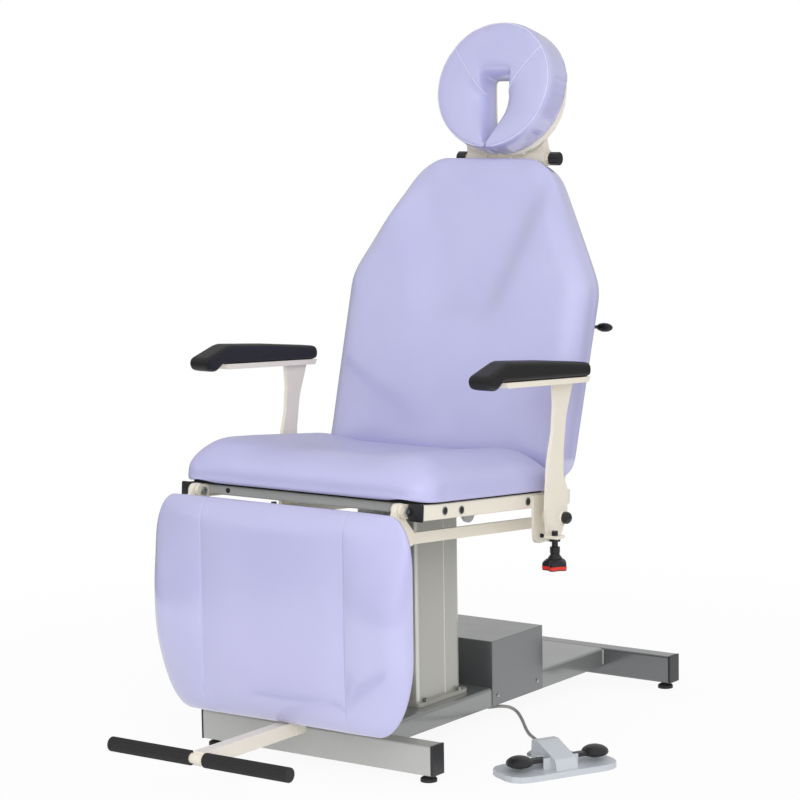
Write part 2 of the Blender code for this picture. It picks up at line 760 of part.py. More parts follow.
web_bottom = BAR_TOP - SPINE_SHEET
gland_end = web_bottom - GAP - GLAND_LENGTH
gland_profile = (
    (0, BAR_TOP + GAP + GLAND_NUT),
    (GLAND_DIAMETER / 2, BAR_TOP + GAP + GLAND_NUT),
    (GLAND_DIAMETER / 2, BAR_TOP + GAP),
    (GLAND_NECK_DIAMETER / 2, BAR_TOP + GAP),
    (GLAND_NECK_DIAMETER / 2, web_bottom - GAP),
    (GLAND_DIAMETER / 2, web_bottom - GAP),
    (GLAND_DIAMETER / 2, gland_end + GLAND_LENGTH / 2),
    (CORD_DIAMETER / 2 + 0.001, gland_end),
    (0, gland_end),
)
place(turned(gland_profile, (*GLAND_PLACE, 0)), "cable_gland", chair, BLACK_PLASTIC)


# Foot control: a moulded housing and two pedals on pins, drawn along the unit's own length

pedal_frame = empty("pedal_frame", chair, (*PEDAL_PLACE, 0), turn=PEDAL_TURN)
half_block = PEDAL_BLOCK_WIDTH / 2
pin_x = half_block + PEDAL_PIN_OFFSET
pin_z = PEDAL_DOME_BASE + 0.4 * PEDAL_DOME_HEIGHT
half_arm = PEDAL_ARM_WIDTH / 2
lug_inside = half_arm + SIDE_GAP
lug_outside = lug_inside + PEDAL_LUG_THICKNESS

housing = extruded(
    rectangle(-PEDAL_LENGTH / 2, -PEDAL_FRONT, PEDAL_LENGTH / 2, PEDAL_BACK, PEDAL_CORNER),
    PEDAL_PLATE,
    FLAT,
    (0, 0, PEDAL_PLATE / 2),
)
block_outline = rounded(
    (
        (-PEDAL_FRONT + 0.006, PEDAL_PLATE / 2, 0),
        (PEDAL_BACK - 0.004, PEDAL_PLATE / 2, 0),
        (PEDAL_BACK - 0.008, PEDAL_BLOCK_BACK_HEIGHT, 0.006),
        (PEDAL_BACK - 0.030, PEDAL_BLOCK_BACK_HEIGHT, 0.010),
        (-PEDAL_FRONT + 0.014, PEDAL_BLOCK_FRONT_HEIGHT, 0.010),
    )
)
housing = fused(housing, extruded(block_outline, PEDAL_BLOCK_WIDTH, SIDE))
relief_start = Vector((0, PEDAL_BACK - 0.010, 0.016))
relief_end = Vector((0, PEDAL_BACK + 0.018, 0.012))
housing = fused(housing, rod(relief_start, relief_end, CORD_DIAMETER + 0.004, 12))
for side in (1, -1):
    for hand in (1, -1):
        low_x, high_x = sorted((side * (half_block - 0.002), side * (pin_x + PEDAL_PIN_DIAMETER)))
        low_y, high_y = sorted((hand * lug_inside, hand * lug_outside))
        lug = box((low_x, low_y, PEDAL_PLATE / 2), (high_x, high_y, pin_z + PEDAL_PIN_DIAMETER), 0.0008)
        housing = fused(housing, lug)
    pin_end = (lug_inside + lug_outside) / 2
    pin = rod((side * pin_x, -pin_end, pin_z), (side * pin_x, pin_end, pin_z), PEDAL_PIN_DIAMETER, 12)
    housing = fused(housing, pin)
place(housing, "pedal_housing", pedal_frame, PEDAL_PLASTIC)


def pedal(name, side):
    """A domed pedal on a short arm whose eye turns on the housing's pin, drawn from the pin."""
    axis = empty(name + "_axis", pedal_frame, (side * pin_x, 0, pin_z))
    reach = PEDAL_REACH - pin_x
    radius = PEDAL_DOME_DIAMETER / 2
    base = PEDAL_DOME_BASE - pin_z
    rim = base + 0.4 * PEDAL_DOME_HEIGHT
    crown = [
        (radius * math.sin(math.radians(a)), rim + 0.6 * PEDAL_DOME_HEIGHT * math.cos(math.radians(a)))
        for a in (0, 20, 40, 60, 75, 90)
    ]
    foot = [
        (radius * math.sin(math.radians(a)), rim + 0.4 * PEDAL_DOME_HEIGHT * math.cos(math.radians(a)))
        for a in (110, 130, 150)
    ]
    dome = turned((*crown, *foot, (radius * 0.4, base), (0, base)), (side * reach, 0, 0))
    eye = PEDAL_ARM_THICKNESS / 2
    low_x, high_x = sorted((-side * eye, side * (reach - radius / 2)))
    arm = box((low_x, -half_arm, -eye), (high_x, half_arm, eye), 0.0015)
    bore = rod((0, -PEDAL_ARM_WIDTH, 0), (0, PEDAL_ARM_WIDTH, 0), PEDAL_PIN_DIAMETER + 2 * RUN_GAP, 12)
    place(cut(fused(dome, arm), bore), name, axis, BLACK_PLASTIC)


pedal("pedal_raise", 1)
pedal("pedal_lower", -1)


# Pedal cord: down out of the gland, out under the spine, and along the floor to the back of the foot control

CORD_ROUTE = (
    (0.0810, 0.4770, 0.0305),
    (0.0890, 0.4860, 0.0250),
    (0.1040, 0.5030, 0.0255),
    (0.1190, 0.5200, 0.0220),
    (0.1374, 0.5202, 0.0150),
    (0.1676, 0.4925, 0.0090),
    (0.1935, 0.4628, 0.0055),
    (0.2167, 0.4358, 0.0038),
    (0.2395, 0.4110, 0.0036),
    (0.2643, 0.3892, 0.0036),
    (0.2881, 0.3684, 0.0036),
    (0.3069, 0.3436, 0.0036),
    (0.3158, 0.3159, 0.0036),
    (0.3198, 0.2921, 0.0040),
    (0.3268, 0.2712, 0.0058),
    (0.3402, 0.2558, 0.0088),
)


def smooth_route(points, steps):
    """Points on a smooth curve through a route's own points."""
    route = [Vector(point) for point in points]
    route = [2 * route[0] - route[1], *route, 2 * route[-1] - route[-2]]
    curve = []
    for a, b, c, d in zip(route, route[1:], route[2:], route[3:]):
        for step in range(steps):
            t = step / steps
            bend = (2 * a - 5 * b + 4 * c - d) * t * t + (3 * (b - c) + d - a) * t * t * t
            curve.append(b + ((c - a) * t + bend) / 2)
    curve.append(route[-2])
    return curve


relief_tip = pedal_frame.matrix_world @ relief_end
relief_run = (relief_tip - pedal_frame.matrix_world @ relief_start).normalized()
cord_start = Vector((*GLAND_PLACE, gland_end - GAP))
cord_drop = cord_start - Vector((0, 0, CORD_DIAMETER))
cord_end = relief_tip + relief_run * GAP
cord_points = smooth_route((cord_start, cord_drop, *CORD_ROUTE, cord_end), 2)
cord = bpy.data.curves.new("pedal_cord", "CURVE")
cord.dimensions = "3D"
cord.bevel_depth = CORD_DIAMETER / 2
cord.bevel_resolution = 2
cord.use_fill_caps = True
cord_spline = cord.splines.new("POLY")
cord_spline.points.add(len(cord_points) - 1)
for spot, point in zip(cord_spline.points, cord_points):
    spot.co = (*point, 1)
cord.materials.append(CORD_GREY)
cord_object = bpy.data.objects.new("pedal_cord", cord)
parts.objects.link(cord_object)
cord_object.parent = chair


# Lifted part: the inner column, the spindle and the bracket that carries the seat

lift = empty("lift", chair, (0, COLUMN_MIDDLE, COLUMN_TOP))
seat = empty("seat", lift, (0, SEAT_FRONT_Y - COLUMN_MIDDLE, SEAT_FRONT_Z - COLUMN_TOP), tip=-SEAT_TILT)

inner_foot = COLUMN_TOP - LIFT_STROKE - INNER_OVERLAP
inner_top = COLUMN_TOP + INNER_STANDOUT
inner = extruded(
    column_bore(RUN_GAP),
    inner_top - inner_foot,
    FLAT,
    (0, 0, (inner_top + inner_foot) / 2),
    holes=[column_bore(RUN_GAP + INNER_WALL)],
)
place(inner, "column_inner", lift, BRIGHT_STEEL, chair)
spindle = rod((0, COLUMN_MIDDLE, SPINDLE_FOOT), (0, COLUMN_MIDDLE, SPINDLE_TOP), SPINDLE_DIAMETER, 20)
place(spindle, "lift_spindle", lift, BRIGHT_STEEL, chair)


def seat_point(along, up):
    """A point of the tilted seat frame as the chair's Y and Z."""
    return (
        SEAT_FRONT_Y + along * math.cos(SEAT_TILT) + up * math.sin(SEAT_TILT),
        SEAT_FRONT_Z - along * math.sin(SEAT_TILT) + up * math.cos(SEAT_TILT),
    )


FRONT_TUBE_REAR = FRONT_TUBE_SETBACK + CROSS_TUBE_DEPTH
REAR_TUBE_REAR = REAR_TUBE_SETBACK + CROSS_TUBE_DEPTH
plate_bottom = inner_top + GAP
spring_foot_y, spring_foot_z = seat_point(SPRING_FOOT_SETBACK, -SPRING_FOOT_DROP)
lobe_radius = SPRING_EYE_DIAMETER / 2 + LOBE_RIM
lobe = [
    (spring_foot_y + lobe_radius * math.cos(a), spring_foot_z + lobe_radius * math.sin(a))
    for a in (math.radians(50 - 25 * i) for i in range(10))
]
cheek_top = RAIL_HEIGHT - CHEEK_TOP_INSET
tube_end = seat_point(REAR_TUBE_REAR + CHEEK_REAR_OVERHANG, cheek_top)
cheek_outline = [
    (COLUMN_FRONT, plate_bottom),
    seat_point(FRONT_TUBE_REAR + GAP, 2 * CHEEK_TOP_INSET),
    seat_point(FRONT_TUBE_REAR + GAP, cheek_top),
    tube_end,
    seat_point(REAR_TUBE_REAR + CHEEK_REAR_OVERHANG, 0),
    (COLUMN_REAR, plate_bottom),
]
lug_front = COLUMN_REAR - COLUMN_DEPTH / 3
spring_lug_outline = [(lug_front, plate_bottom), (lug_front, tube_end[1]), tube_end, *lobe]
spring_lug_outline.append((COLUMN_REAR + CHEEK_REAR_OVERHANG, plate_bottom))
bracket = box(
    (-half_column, COLUMN_FRONT, plate_bottom), (half_column, COLUMN_REAR, plate_bottom + BRACKET_PLATE)
)
for hand, side in SIDES:
    cheek_x = side * (half_column - CHEEK_THICKNESS / 2)
    lug_x = side * SPRING_LUG_OFFSET
    bracket = fused(bracket, extruded(cheek_outline, CHEEK_THICKNESS, SIDE, (cheek_x, 0, 0)))
    bracket = fused(bracket, extruded(spring_lug_outline, CHEEK_THICKNESS, SIDE, (lug_x, 0, 0)))
rear_tube = extruded(
    rectangle(REAR_TUBE_SETBACK, 0, REAR_TUBE_REAR, RAIL_HEIGHT, 0.003), 2 * (RAIL_INSIDE - GAP), SIDE
)
rear_tube.data.transform(
    Matrix.Translation((0, SEAT_FRONT_Y, SEAT_FRONT_Z)) @ Matrix.Rotation(-SEAT_TILT, 4, "X")
)
spring_pin = rod(
    (-SPRING_LUG_OFFSET, spring_foot_y, spring_foot_z),
    (SPRING_LUG_OFFSET, spring_foot_y, spring_foot_z),
    SPRING_PIN_DIAMETER,
)
place(fused(bracket, rear_tube, spring_pin), "seat_bracket", lift, GREY_STEEL, chair)


# Seat rails with the backrest's pivot studs, and the front tube with the legrest's hinge lugs and pins

ARM_PLATE_MIDDLE = (ARM_PLATE_INSIDE + ARM_PLATE_OUTSIDE) / 2
boss_face = ARM_PLATE_OUTSIDE + SIDE_GAP


def seat_rail(name, side):
    centre = side * (RAIL_OUTSIDE - RAIL_WIDTH / 2)
    outline = rectangle(-RAIL_WIDTH / 2, 0, RAIL_WIDTH / 2, RAIL_HEIGHT, 0.003)
    rail = extruded(outline, RAIL_LENGTH, FRONT, (centre, RAIL_LENGTH / 2, 0))
    bore = box(
        (centre - RAIL_WIDTH / 2 + RAIL_WALL, END_CAP_THICKNESS, RAIL_WALL),
        (centre + RAIL_WIDTH / 2 - RAIL_WALL, RAIL_LENGTH + RAIL_WALL, RAIL_HEIGHT - RAIL_WALL),
    )
    root = RAIL_INSIDE + RAIL_WALL / 2
    boss = rod(
        (side * boss_face, BACK_HINGE_SETBACK, HINGE_HEIGHT),
        (side * root, BACK_HINGE_SETBACK, HINGE_HEIGHT),
        2 * HINGE_PIN_DIAMETER,
    )
    stud = rod(
        (side * (ARM_PLATE_INSIDE - 0.002), BACK_HINGE_SETBACK, HINGE_HEIGHT),
        (side * root, BACK_HINGE_SETBACK, HINGE_HEIGHT),
        HINGE_PIN_DIAMETER,
    )
    place(fused(cut(rail, bore), boss, stud), name, seat, CREAM_PAINT)


for hand, side in SIDES:
    seat_rail("seat_rail_" + hand, side)

front_tube = extruded(
    rectangle(FRONT_TUBE_SETBACK, RAIL_HEIGHT - FRONT_TUBE_HEIGHT, FRONT_TUBE_REAR, RAIL_HEIGHT, 0.003),
    2 * (RAIL_INSIDE - GAP),
    SIDE,
)
lug_outline = rounded(
    (
        (FRONT_TUBE_SETBACK + 0.002, HINGE_HEIGHT - LUG_RADIUS + 0.001, 0),
        (FRONT_TUBE_SETBACK + 0.002, HINGE_HEIGHT + LUG_RADIUS - 0.003, 0),
        (-LEGREST_HINGE_LEAD - LUG_RADIUS, HINGE_HEIGHT + LUG_RADIUS, LUG_RADIUS),
        (-LEGREST_HINGE_LEAD - LUG_RADIUS, HINGE_HEIGHT - LUG_RADIUS, LUG_RADIUS),
    ),
    4,
)
lug_inner = ARM_PLATE_INSIDE - SIDE_GAP - LUG_THICKNESS / 2
lug_outer = ARM_PLATE_OUTSIDE + SIDE_GAP + LUG_THICKNESS / 2
for hand, side in SIDES:
    for lug_x in (lug_inner, lug_outer):
        front_tube = fused(front_tube, extruded(lug_outline, LUG_THICKNESS, SIDE, (side * lug_x, 0, 0)))
    hinge_pin = rod(
        (side * (lug_inner - LUG_THICKNESS), -LEGREST_HINGE_LEAD, HINGE_HEIGHT),
        (side * (lug_outer + LUG_THICKNESS), -LEGREST_HINGE_LEAD, HINGE_HEIGHT),
        HINGE_PIN_DIAMETER,
    )
    front_tube = fused(front_tube, hinge_pin)
place(front_tube, "seat_front_tube", seat, GREY_STEEL)


# Padding: a crowned front over an outline, sides drawn in towards a flat back


def ease(low, high, value):
    """0 below low, 1 above high and smooth between."""
    t = min(max((value - low) / (high - low), 0), 1)
    return t * t * (3 - 2 * t)


def round_end(room, run, draw):
    """How far an outline is drawn in by an elliptical corner, at this distance from its end."""
    share = 1 - min(max(room / run, 0), 1)
    return draw * (1 - math.sqrt(1 - share**2))


def edge_fall(room, radius):
    """0 at a padded edge, rising like a quarter circle to 1 one radius inside it."""
    return math.sqrt(1 - (1 - min(room / radius, 1)) ** 2)


def padded(bottom, top, half_width, surface, edge, edge_radius, seam=None, draw_in=0.006):
    """A cushion drawn flat: x across, y along and the padding towards +Z, from its back at 0."""
    across = [0, 0.16, 0.32, 0.46, 0.49, 0.52, 0.56, 0.66, 0.78, 0.88, 0.95, 0.985, 1]
    across = [-f for f in reversed(across[1:])] + across
    along = [0, 0.008, 0.028, 0.065, 0.12, 0.2, 0.3, 0.4, 0.5, 0.6, 0.7, 0.8, 0.88, 0.935, 0.972, 0.992, 1]
    seam_step = 0.49
    shape = bmesh.new()
    bmesh.ops.create_grid(shape, x_segments=len(across) - 1, y_segments=len(along) - 1, size=1)
    for point in shape.verts:
        column = across[round((point.co.x + 1) / 2 * (len(across) - 1))]
        row = along[round((point.co.y + 1) / 2 * (len(along) - 1))]
        y = bottom + row * (top - bottom)
        width = half_width(y)
        if seam is None:
            x = column * width
        elif abs(column) <= seam_step:
            x = column / seam_step * seam
        else:
            x = math.copysign(seam + (abs(column) - seam_step) / (1 - seam_step) * (width - seam), column)
        fall = edge_fall(width - abs(x), edge_radius) * edge_fall(min(y - bottom, top - y), edge_radius)
        point.co = (x, y, edge + (surface(x, y) - edge) * fall)
    rim = [e for e in shape.edges if e.is_boundary]
    made = bmesh.ops.extrude_edge_only(shape, edges=rim)["geom"]
    middle = (bottom + top) / 2
    for point in (g for g in made if isinstance(g, bmesh.types.BMVert)):
        x, y, _ = point.co
        shrink = 1 - draw_in / max(abs(x), draw_in * 4)
        point.co = (x * shrink, middle + (y - middle) * (1 - draw_in / (middle - bottom)), 0)
    back = [e for e in shape.edges if e.is_boundary]
    bmesh.ops.edgeloop_fill(shape, edges=back)
    return from_bmesh(shape)


def seat_half_width(y):
    ends = min(y - SEAT_PAD_FRONT, 2 * (SEAT_PAD_BACK - y))
    return SEAT_PAD_HALF_WIDTH - round_end(ends, SEAT_PAD_CORNER, SEAT_PAD_CORNER)


def seat_surface(x, y):
    dish = ease(0.35, 0.85, abs(x) / SEAT_PAD_HALF_WIDTH)
    front = ease(SEAT_PAD_BACK, SEAT_PAD_FRONT + SEAT_PAD_FRONT_RUN, y)
    return SEAT_PAD_THICKNESS + SEAT_PAD_SIDE_RISE * dish + SEAT_PAD_FRONT_RISE * front


SEAT_BOARD_BOTTOM = RAIL_HEIGHT + GAP
SEAT_PAD_BASE = SEAT_BOARD_BOTTOM + SEAT_BOARD_THICKNESS + GAP
seat_board = extruded(
    rectangle(
        -SEAT_PAD_HALF_WIDTH + SEAT_BOARD_INSET,
        SEAT_PAD_FRONT + SEAT_BOARD_INSET,
        SEAT_PAD_HALF_WIDTH - SEAT_BOARD_INSET,
        SEAT_PAD_BACK - SEAT_BOARD_INSET,
        SEAT_PAD_CORNER - SEAT_BOARD_INSET,
    ),
    SEAT_BOARD_THICKNESS,
    FLAT,
    (0, 0, SEAT_BOARD_BOTTOM + SEAT_BOARD_THICKNESS / 2),
)
place(seat_board, "seat_board", seat, LINING)
seat_pad = padded(
    SEAT_PAD_FRONT, SEAT_PAD_BACK, seat_half_width, seat_surface, SEAT_PAD_EDGE, SEAT_PAD_ROUND
)
seat_pad.data.transform(Matrix.Translation((0, 0, SEAT_PAD_BASE)))
place(seat_pad, "seat_cushion", seat, LEATHERETTE)


# Levers: both point down and trail back from their hinges, so the link bars and the seat form a parallelogram

lever_reach = Vector((LEVER_LENGTH * math.sin(LEVER_TRAIL), -LEVER_LENGTH * math.cos(LEVER_TRAIL)))


def lever_eye_in(tip):
    """The lever eye from its hinge, in a frame that is tipped from the seat's."""
    return Matrix.Rotation(-tip, 2) @ lever_reach


def with_link_pin(plate, side, eye):
    """An arm plate with the pin that its link bar turns on, on the plate's inner face."""
    pin = rod(
        (side * (ARM_PLATE_INSIDE - SIDE_GAP - LINK_THICKNESS - 0.001), eye.x, eye.y),
        (side * ARM_PLATE_MIDDLE, eye.x, eye.y),
        LINK_PIN_DIAMETER,
    )
    return fused(plate, pin)


# Legrest: arms on the hinge pins, a lined board, a pad in three panels, and the sleeve for the footrest

legrest = empty("legrest", seat, (0, -LEGREST_HINGE_LEAD, HINGE_HEIGHT), tip=SEAT_TILT)
leg_eye = lever_eye_in(SEAT_TILT)
arm_front = LEG_BOARD_BACK + GAP
leg_arm_outline = rounded(
    (
        (-LUG_RADIUS, LUG_RADIUS, LUG_RADIUS),
        (arm_front, -0.020, 0.010),
        (arm_front, LEG_ARM_FOOT, 0.003),
        (arm_front + LEG_ARM_WIDTH * 0.7, LEG_ARM_FOOT, 0.008),
        (arm_front + LEG_ARM_WIDTH, 2 * leg_eye.y, 0.020),
        (leg_eye.x - LEVER_EYE / 2, leg_eye.y - LEVER_EYE, LEVER_EYE),
        (leg_eye.x + LEVER_EYE, leg_eye.y - LEVER_EYE, LEVER_EYE),
        (leg_eye.x + LEVER_EYE, leg_eye.y + LEVER_EYE, LEVER_EYE),
        (0.6 * LUG_RADIUS, -LUG_RADIUS, LUG_RADIUS),
        (LUG_RADIUS, LUG_RADIUS, LUG_RADIUS),
    )
)
hinge_hole = HINGE_PIN_DIAMETER / 2 + RUN_GAP
for hand, side in SIDES:
    leg_arm = extruded(
        leg_arm_outline,
        ARM_PLATE_THICKNESS,
        SIDE,
        (side * ARM_PLATE_MIDDLE, 0, 0),
        holes=[circle((0, 0), hinge_hole)],
    )
    place(with_link_pin(leg_arm, side, leg_eye), "legrest_arm_" + hand, legrest, CREAM_PAINT)


def leg_half_width(y):
    drawn_in = round_end(LEG_PAD_TOP - y, LEG_PAD_TOP_RUN, LEG_PAD_TOP_DRAW)
    drawn_in += round_end(y - LEG_PAD_BOTTOM, LEG_PAD_FOOT_RUN, LEG_PAD_FOOT_DRAW)
    return LEG_PAD_HALF_WIDTH - drawn_in


def leg_surface(x, y):
    seam_distance = abs(abs(x) - LEG_PAD_SEAM)
    room = min(LEG_PAD_TOP - y, y - LEG_PAD_BOTTOM)
    bolster = LEG_BOLSTER_RISE - LEG_BOLSTER_END_DROP * ease(LEG_BOLSTER_END_RUN, LEG_BOLSTER_END_FLAT, room)
    bolster *= ease(LEG_PAD_SEAM, LEG_PAD_SEAM + LEG_BOLSTER_RUN, abs(x))
    groove_depth = LEG_SEAM_DEPTH * (1 - ease(0, LEG_SEAM_WIDTH, seam_distance))
    return LEG_PAD_THICKNESS + bolster - groove_depth


def board(half_width, bottom, top, inset, thickness, middle):
    """A cushion's lined board, standing in the cushion's own outline drawn in by an inset."""
    low, high = bottom + inset, top - inset
    rows = [low + (high - low) * i / 14 for i in range(15)]
    edge = [(half_width(y) - inset, y) for y in rows]
    return extruded(edge + [(-x, y) for x, y in reversed(edge)], thickness, FRONT, (0, middle, 0))


leg_board = board(
    leg_half_width,
    LEG_PAD_BOTTOM,
    LEG_PAD_TOP,
    LEG_BOARD_INSET,
    LEG_BOARD_THICKNESS,
    LEG_BOARD_BACK - LEG_BOARD_THICKNESS / 2,
)
place(leg_board, "legrest_board", legrest, LINING)
leg_pad = padded(
    LEG_PAD_BOTTOM, LEG_PAD_TOP, leg_half_width, leg_surface, LEG_PAD_EDGE, LEG_PAD_ROUND, LEG_PAD_SEAM
)
leg_pad.data.transform(Matrix.Translation((0, LEG_BOARD_BACK - LEG_BOARD_THICKNESS - GAP, 0)) @ FRONT)
place(leg_pad, "legrest_cushion", legrest, LEATHERETTE)

half_sleeve = SLEEVE_SIZE / 2
sleeve_middle = arm_front + half_sleeve
half_bore = half_sleeve - SLEEVE_WALL
sleeve = extruded(
    rectangle(-half_sleeve, -half_sleeve, half_sleeve, half_sleeve, 0.003),
    SLEEVE_TOP - SLEEVE_BOTTOM,
    FLAT,
    (0, sleeve_middle, (SLEEVE_TOP + SLEEVE_BOTTOM) / 2),
    holes=[rectangle(-half_bore, -half_bore, half_bore, half_bore, 0.001)],
)
place(sleeve, "footrest_sleeve", legrest, CREAM_PAINT)


# Footrest: a bent stem that slides in the sleeve, a T bar and two ribbed grips

footrest = empty("footrest", legrest, (0, sleeve_middle, 0))
half_stem = half_bore - RUN_GAP
arm_top = LEG_PAD_BOTTOM - FOOT_ARM_BELOW_PAD
arm_bottom = arm_top - FOOT_ARM_HEIGHT
bar_middle = (arm_top + arm_bottom) / 2
bar_y = -FOOT_ARM_REACH - sleeve_middle
stem = box((-half_stem, -half_stem, arm_bottom), (half_stem, half_stem, STEM_TOP), 0.0015)
foot_arm = box(
    (-FOOT_ARM_HEIGHT / 2, bar_y, arm_bottom), (FOOT_ARM_HEIGHT / 2, half_stem - 0.001, arm_top), 0.0015
)
half_bar = FOOT_BAR_LENGTH / 2
foot_bar = rod((-half_bar, bar_y, bar_middle), (half_bar, bar_y, bar_middle), FOOT_BAR_DIAMETER)
place(fused(stem, foot_arm, foot_bar), "footrest_stem", footrest, CREAM_PAINT)


def footrest_grip(name, side):
    """A rubber sleeve with ribs along it, closed at its outer end."""
    radius = GRIP_DIAMETER / 2
    outline = []
    for i in range(GRIP_RIBS * 2):
        r = radius - (i % 2) * GRIP_RIB_DEPTH
        a = math.pi * i / GRIP_RIBS
        outline.append((bar_y + r * math.cos(a), bar_middle + r * math.sin(a)))
    inner_end = FOOT_ARM_HEIGHT / 2 + GRIP_TO_ARM
    outer_end = half_bar + GAP + GRIP_END_WALL
    grip = extruded(outline, outer_end - inner_end, SIDE, (side * (inner_end + outer_end) / 2, 0, 0))
    bore = rod(
        (side * (inner_end - GRIP_TO_ARM), bar_y, bar_middle),
        (side * (outer_end - GRIP_END_WALL), bar_y, bar_middle),
        FOOT_BAR_DIAMETER + 2 * GAP,
    )
    place(cut(grip, bore), name, footrest, BLACK_RUBBER)


for hand, side in SIDES:
    footrest_grip("footrest_grip_" + hand, side)


# Backrest: arms on the rail studs, a lined board and a dished cushion

backrest = empty("backrest", seat, (0, BACK_HINGE_SETBACK, HINGE_HEIGHT), tip=SEAT_TILT - BACK_RECLINE)
back_eye = lever_eye_in(SEAT_TILT - BACK_RECLINE)
BACK_BOARD_FRONT = BACK_PAD_REAR + GAP
BACK_BOARD_REAR = BACK_BOARD_FRONT + BACK_BOARD_THICKNESS
BACK_ARM_FRONT = BACK_BOARD_REAR + GAP
BACK_ARM_REAR = BACK_ARM_FRONT + BACK_ARM_WIDTH
eye_radius = HINGE_PIN_DIAMETER / 2 + 0.010
back_arm_outline = rounded(
    (
        (-eye_radius, -eye_radius, eye_radius),
        (0.0, -eye_radius, 0.008),
        (back_eye.x - LEVER_EYE, back_eye.y - LEVER_EYE, LEVER_EYE),
        (back_eye.x + LEVER_EYE, back_eye.y - LEVER_EYE, LEVER_EYE),
        (BACK_ARM_REAR, BACK_BOARD_INSET, 0.020),
        (BACK_ARM_REAR - BACK_ARM_WIDTH / 3, BACK_ARM_TOP, 0.008),
        (BACK_ARM_FRONT, BACK_ARM_TOP, 0.003),
        (BACK_ARM_FRONT, BACK_PAD_BOTTOM, 0.012),
        (eye_radius / 2, eye_radius, 0.010),
        (-eye_radius, eye_radius, eye_radius),
    )
)
for hand, side in SIDES:
    back_arm = extruded(
        back_arm_outline,
        ARM_PLATE_THICKNESS,
        SIDE,
        (side * ARM_PLATE_MIDDLE, 0, 0),
        holes=[circle((0, 0), hinge_hole)],
    )
    place(with_link_pin(back_arm, side, back_eye), "backrest_arm_" + hand, backrest, CREAM_PAINT)


def back_half_width(y):
    if y < BACK_PAD_SHOULDER:
        start, end = BACK_PAD_BOTTOM, BACK_PAD_SHOULDER
        first, last = BACK_PAD_BOTTOM_HALF_WIDTH, BACK_PAD_SHOULDER_HALF_WIDTH
    else:
        start, end = BACK_PAD_SHOULDER, BACK_PAD_TOP
        first, last = BACK_PAD_SHOULDER_HALF_WIDTH, BACK_PAD_TOP_HALF_WIDTH
    width = first + (last - first) * (y - start) / (end - start)
    width -= round_end(y - BACK_PAD_BOTTOM, BACK_PAD_BOTTOM_CORNER, BACK_PAD_BOTTOM_CORNER)
    return width - round_end(BACK_PAD_TOP - y, BACK_PAD_TOP_CORNER, BACK_PAD_TOP_CORNER)


def back_surface(x, y):
    """The padding is raised over the lumbar and in two wings that spread upwards, and dished between them."""
    wing = BACK_WING_INSIDE + BACK_WING_SLOPE * (y - BACK_PAD_SHOULDER)
    wings = ease(wing - BACK_WING_SOFT, wing + BACK_WING_SOFT, abs(x)) * ease(BACK_PAD_TOP, BACK_WING_FULL, y)
    lumbar = ease(BACK_LUMBAR_TOP, BACK_LUMBAR_FULL, y)
    return BACK_PAD_THICKNESS + BACK_PAD_RISE * (1 - (1 - wings) * (1 - lumbar))


back_board = board(
    back_half_width,
    BACK_PAD_BOTTOM,
    BACK_PAD_TOP,
    BACK_BOARD_INSET,
    BACK_BOARD_THICKNESS,
    BACK_BOARD_FRONT + BACK_BOARD_THICKNESS / 2,
)
place(back_board, "backrest_board", backrest, LINING)
back_pad = padded(
    BACK_PAD_BOTTOM, BACK_PAD_TOP, back_half_width, back_surface, BACK_PAD_EDGE, BACK_PAD_ROUND
)
back_pad.data.transform(Matrix.Translation((0, BACK_PAD_REAR, 0)) @ FRONT)
place(back_pad, "backrest_cushion", backrest, LEATHERETTE)


# Headrest guide on the back of the board, with the gas spring's fork and the release lever's pivot

mount_front = BACK_ARM_FRONT
mount_middle = mount_front + GUIDE_MOUNT_THICKNESS / 2
guide_middle = mount_middle + GUIDE_DEPTH / 2
half_guide = GUIDE_WIDTH / 2
half_mount = half_guide + GUIDE_MOUNT_RIM
post_hole = rectangle(
    -POST_WIDTH / 2 - RUN_GAP,
    guide_middle - POST_DEPTH / 2 - RUN_GAP,
    POST_WIDTH / 2 + RUN_GAP,
    guide_middle + POST_DEPTH / 2 + RUN_GAP,
)
guide = extruded(
    rectangle(-half_guide, mount_middle, half_guide, mount_middle + GUIDE_DEPTH, 0.003),
    GUIDE_TOP - GUIDE_BOTTOM,
    FLAT,
    (0, 0, (GUIDE_TOP + GUIDE_BOTTOM) / 2),
    holes=[post_hole],
)
lever_lug = LEVER_BOSS_DIAMETER / 2
mounting = extruded(
    rounded(
        (
            (-half_mount, SPRING_HEAD_UP - GUIDE_MOUNT_DROP, 0.004),
            (half_mount, SPRING_HEAD_UP - GUIDE_MOUNT_DROP, 0.004),
            (LEVER_PIVOT_X + lever_lug + GUIDE_MOUNT_RIM, LEVER_UP - lever_lug, 0.004),
            (LEVER_PIVOT_X + lever_lug + GUIDE_MOUNT_RIM, LEVER_UP + lever_lug, 0.004),
            (half_mount, GUIDE_BOTTOM + lever_lug, 0.004),
            (half_mount, GUIDE_TOP - GUIDE_MOUNT_RIM, 0.004),
            (-half_mount, GUIDE_TOP - GUIDE_MOUNT_RIM, 0.004),
        )
    ),
    GUIDE_MOUNT_THICKNESS,
    FRONT,
    (0, mount_middle, 0),
)
guide = fused(guide, mounting)
fork_inside = SPRING_EYE_WIDTH / 2 + SIDE_GAP
fork_outline = rounded(
    (
        (mount_middle, SPRING_HEAD_UP - 0.016, 0),
        (SPRING_HEAD_BACK + 0.011, SPRING_HEAD_UP - 0.011, 0.010),
        (SPRING_HEAD_BACK + 0.011, SPRING_HEAD_UP + 0.011, 0.010),
        (mount_middle, SPRING_HEAD_UP + 0.016, 0),
    )
)
for hand, side in SIDES:
    fork_x = side * (fork_inside + SPRING_FORK_WALL / 2)
    guide = fused(guide, extruded(fork_outline, SPRING_FORK_WALL, SIDE, (fork_x, 0, 0)))
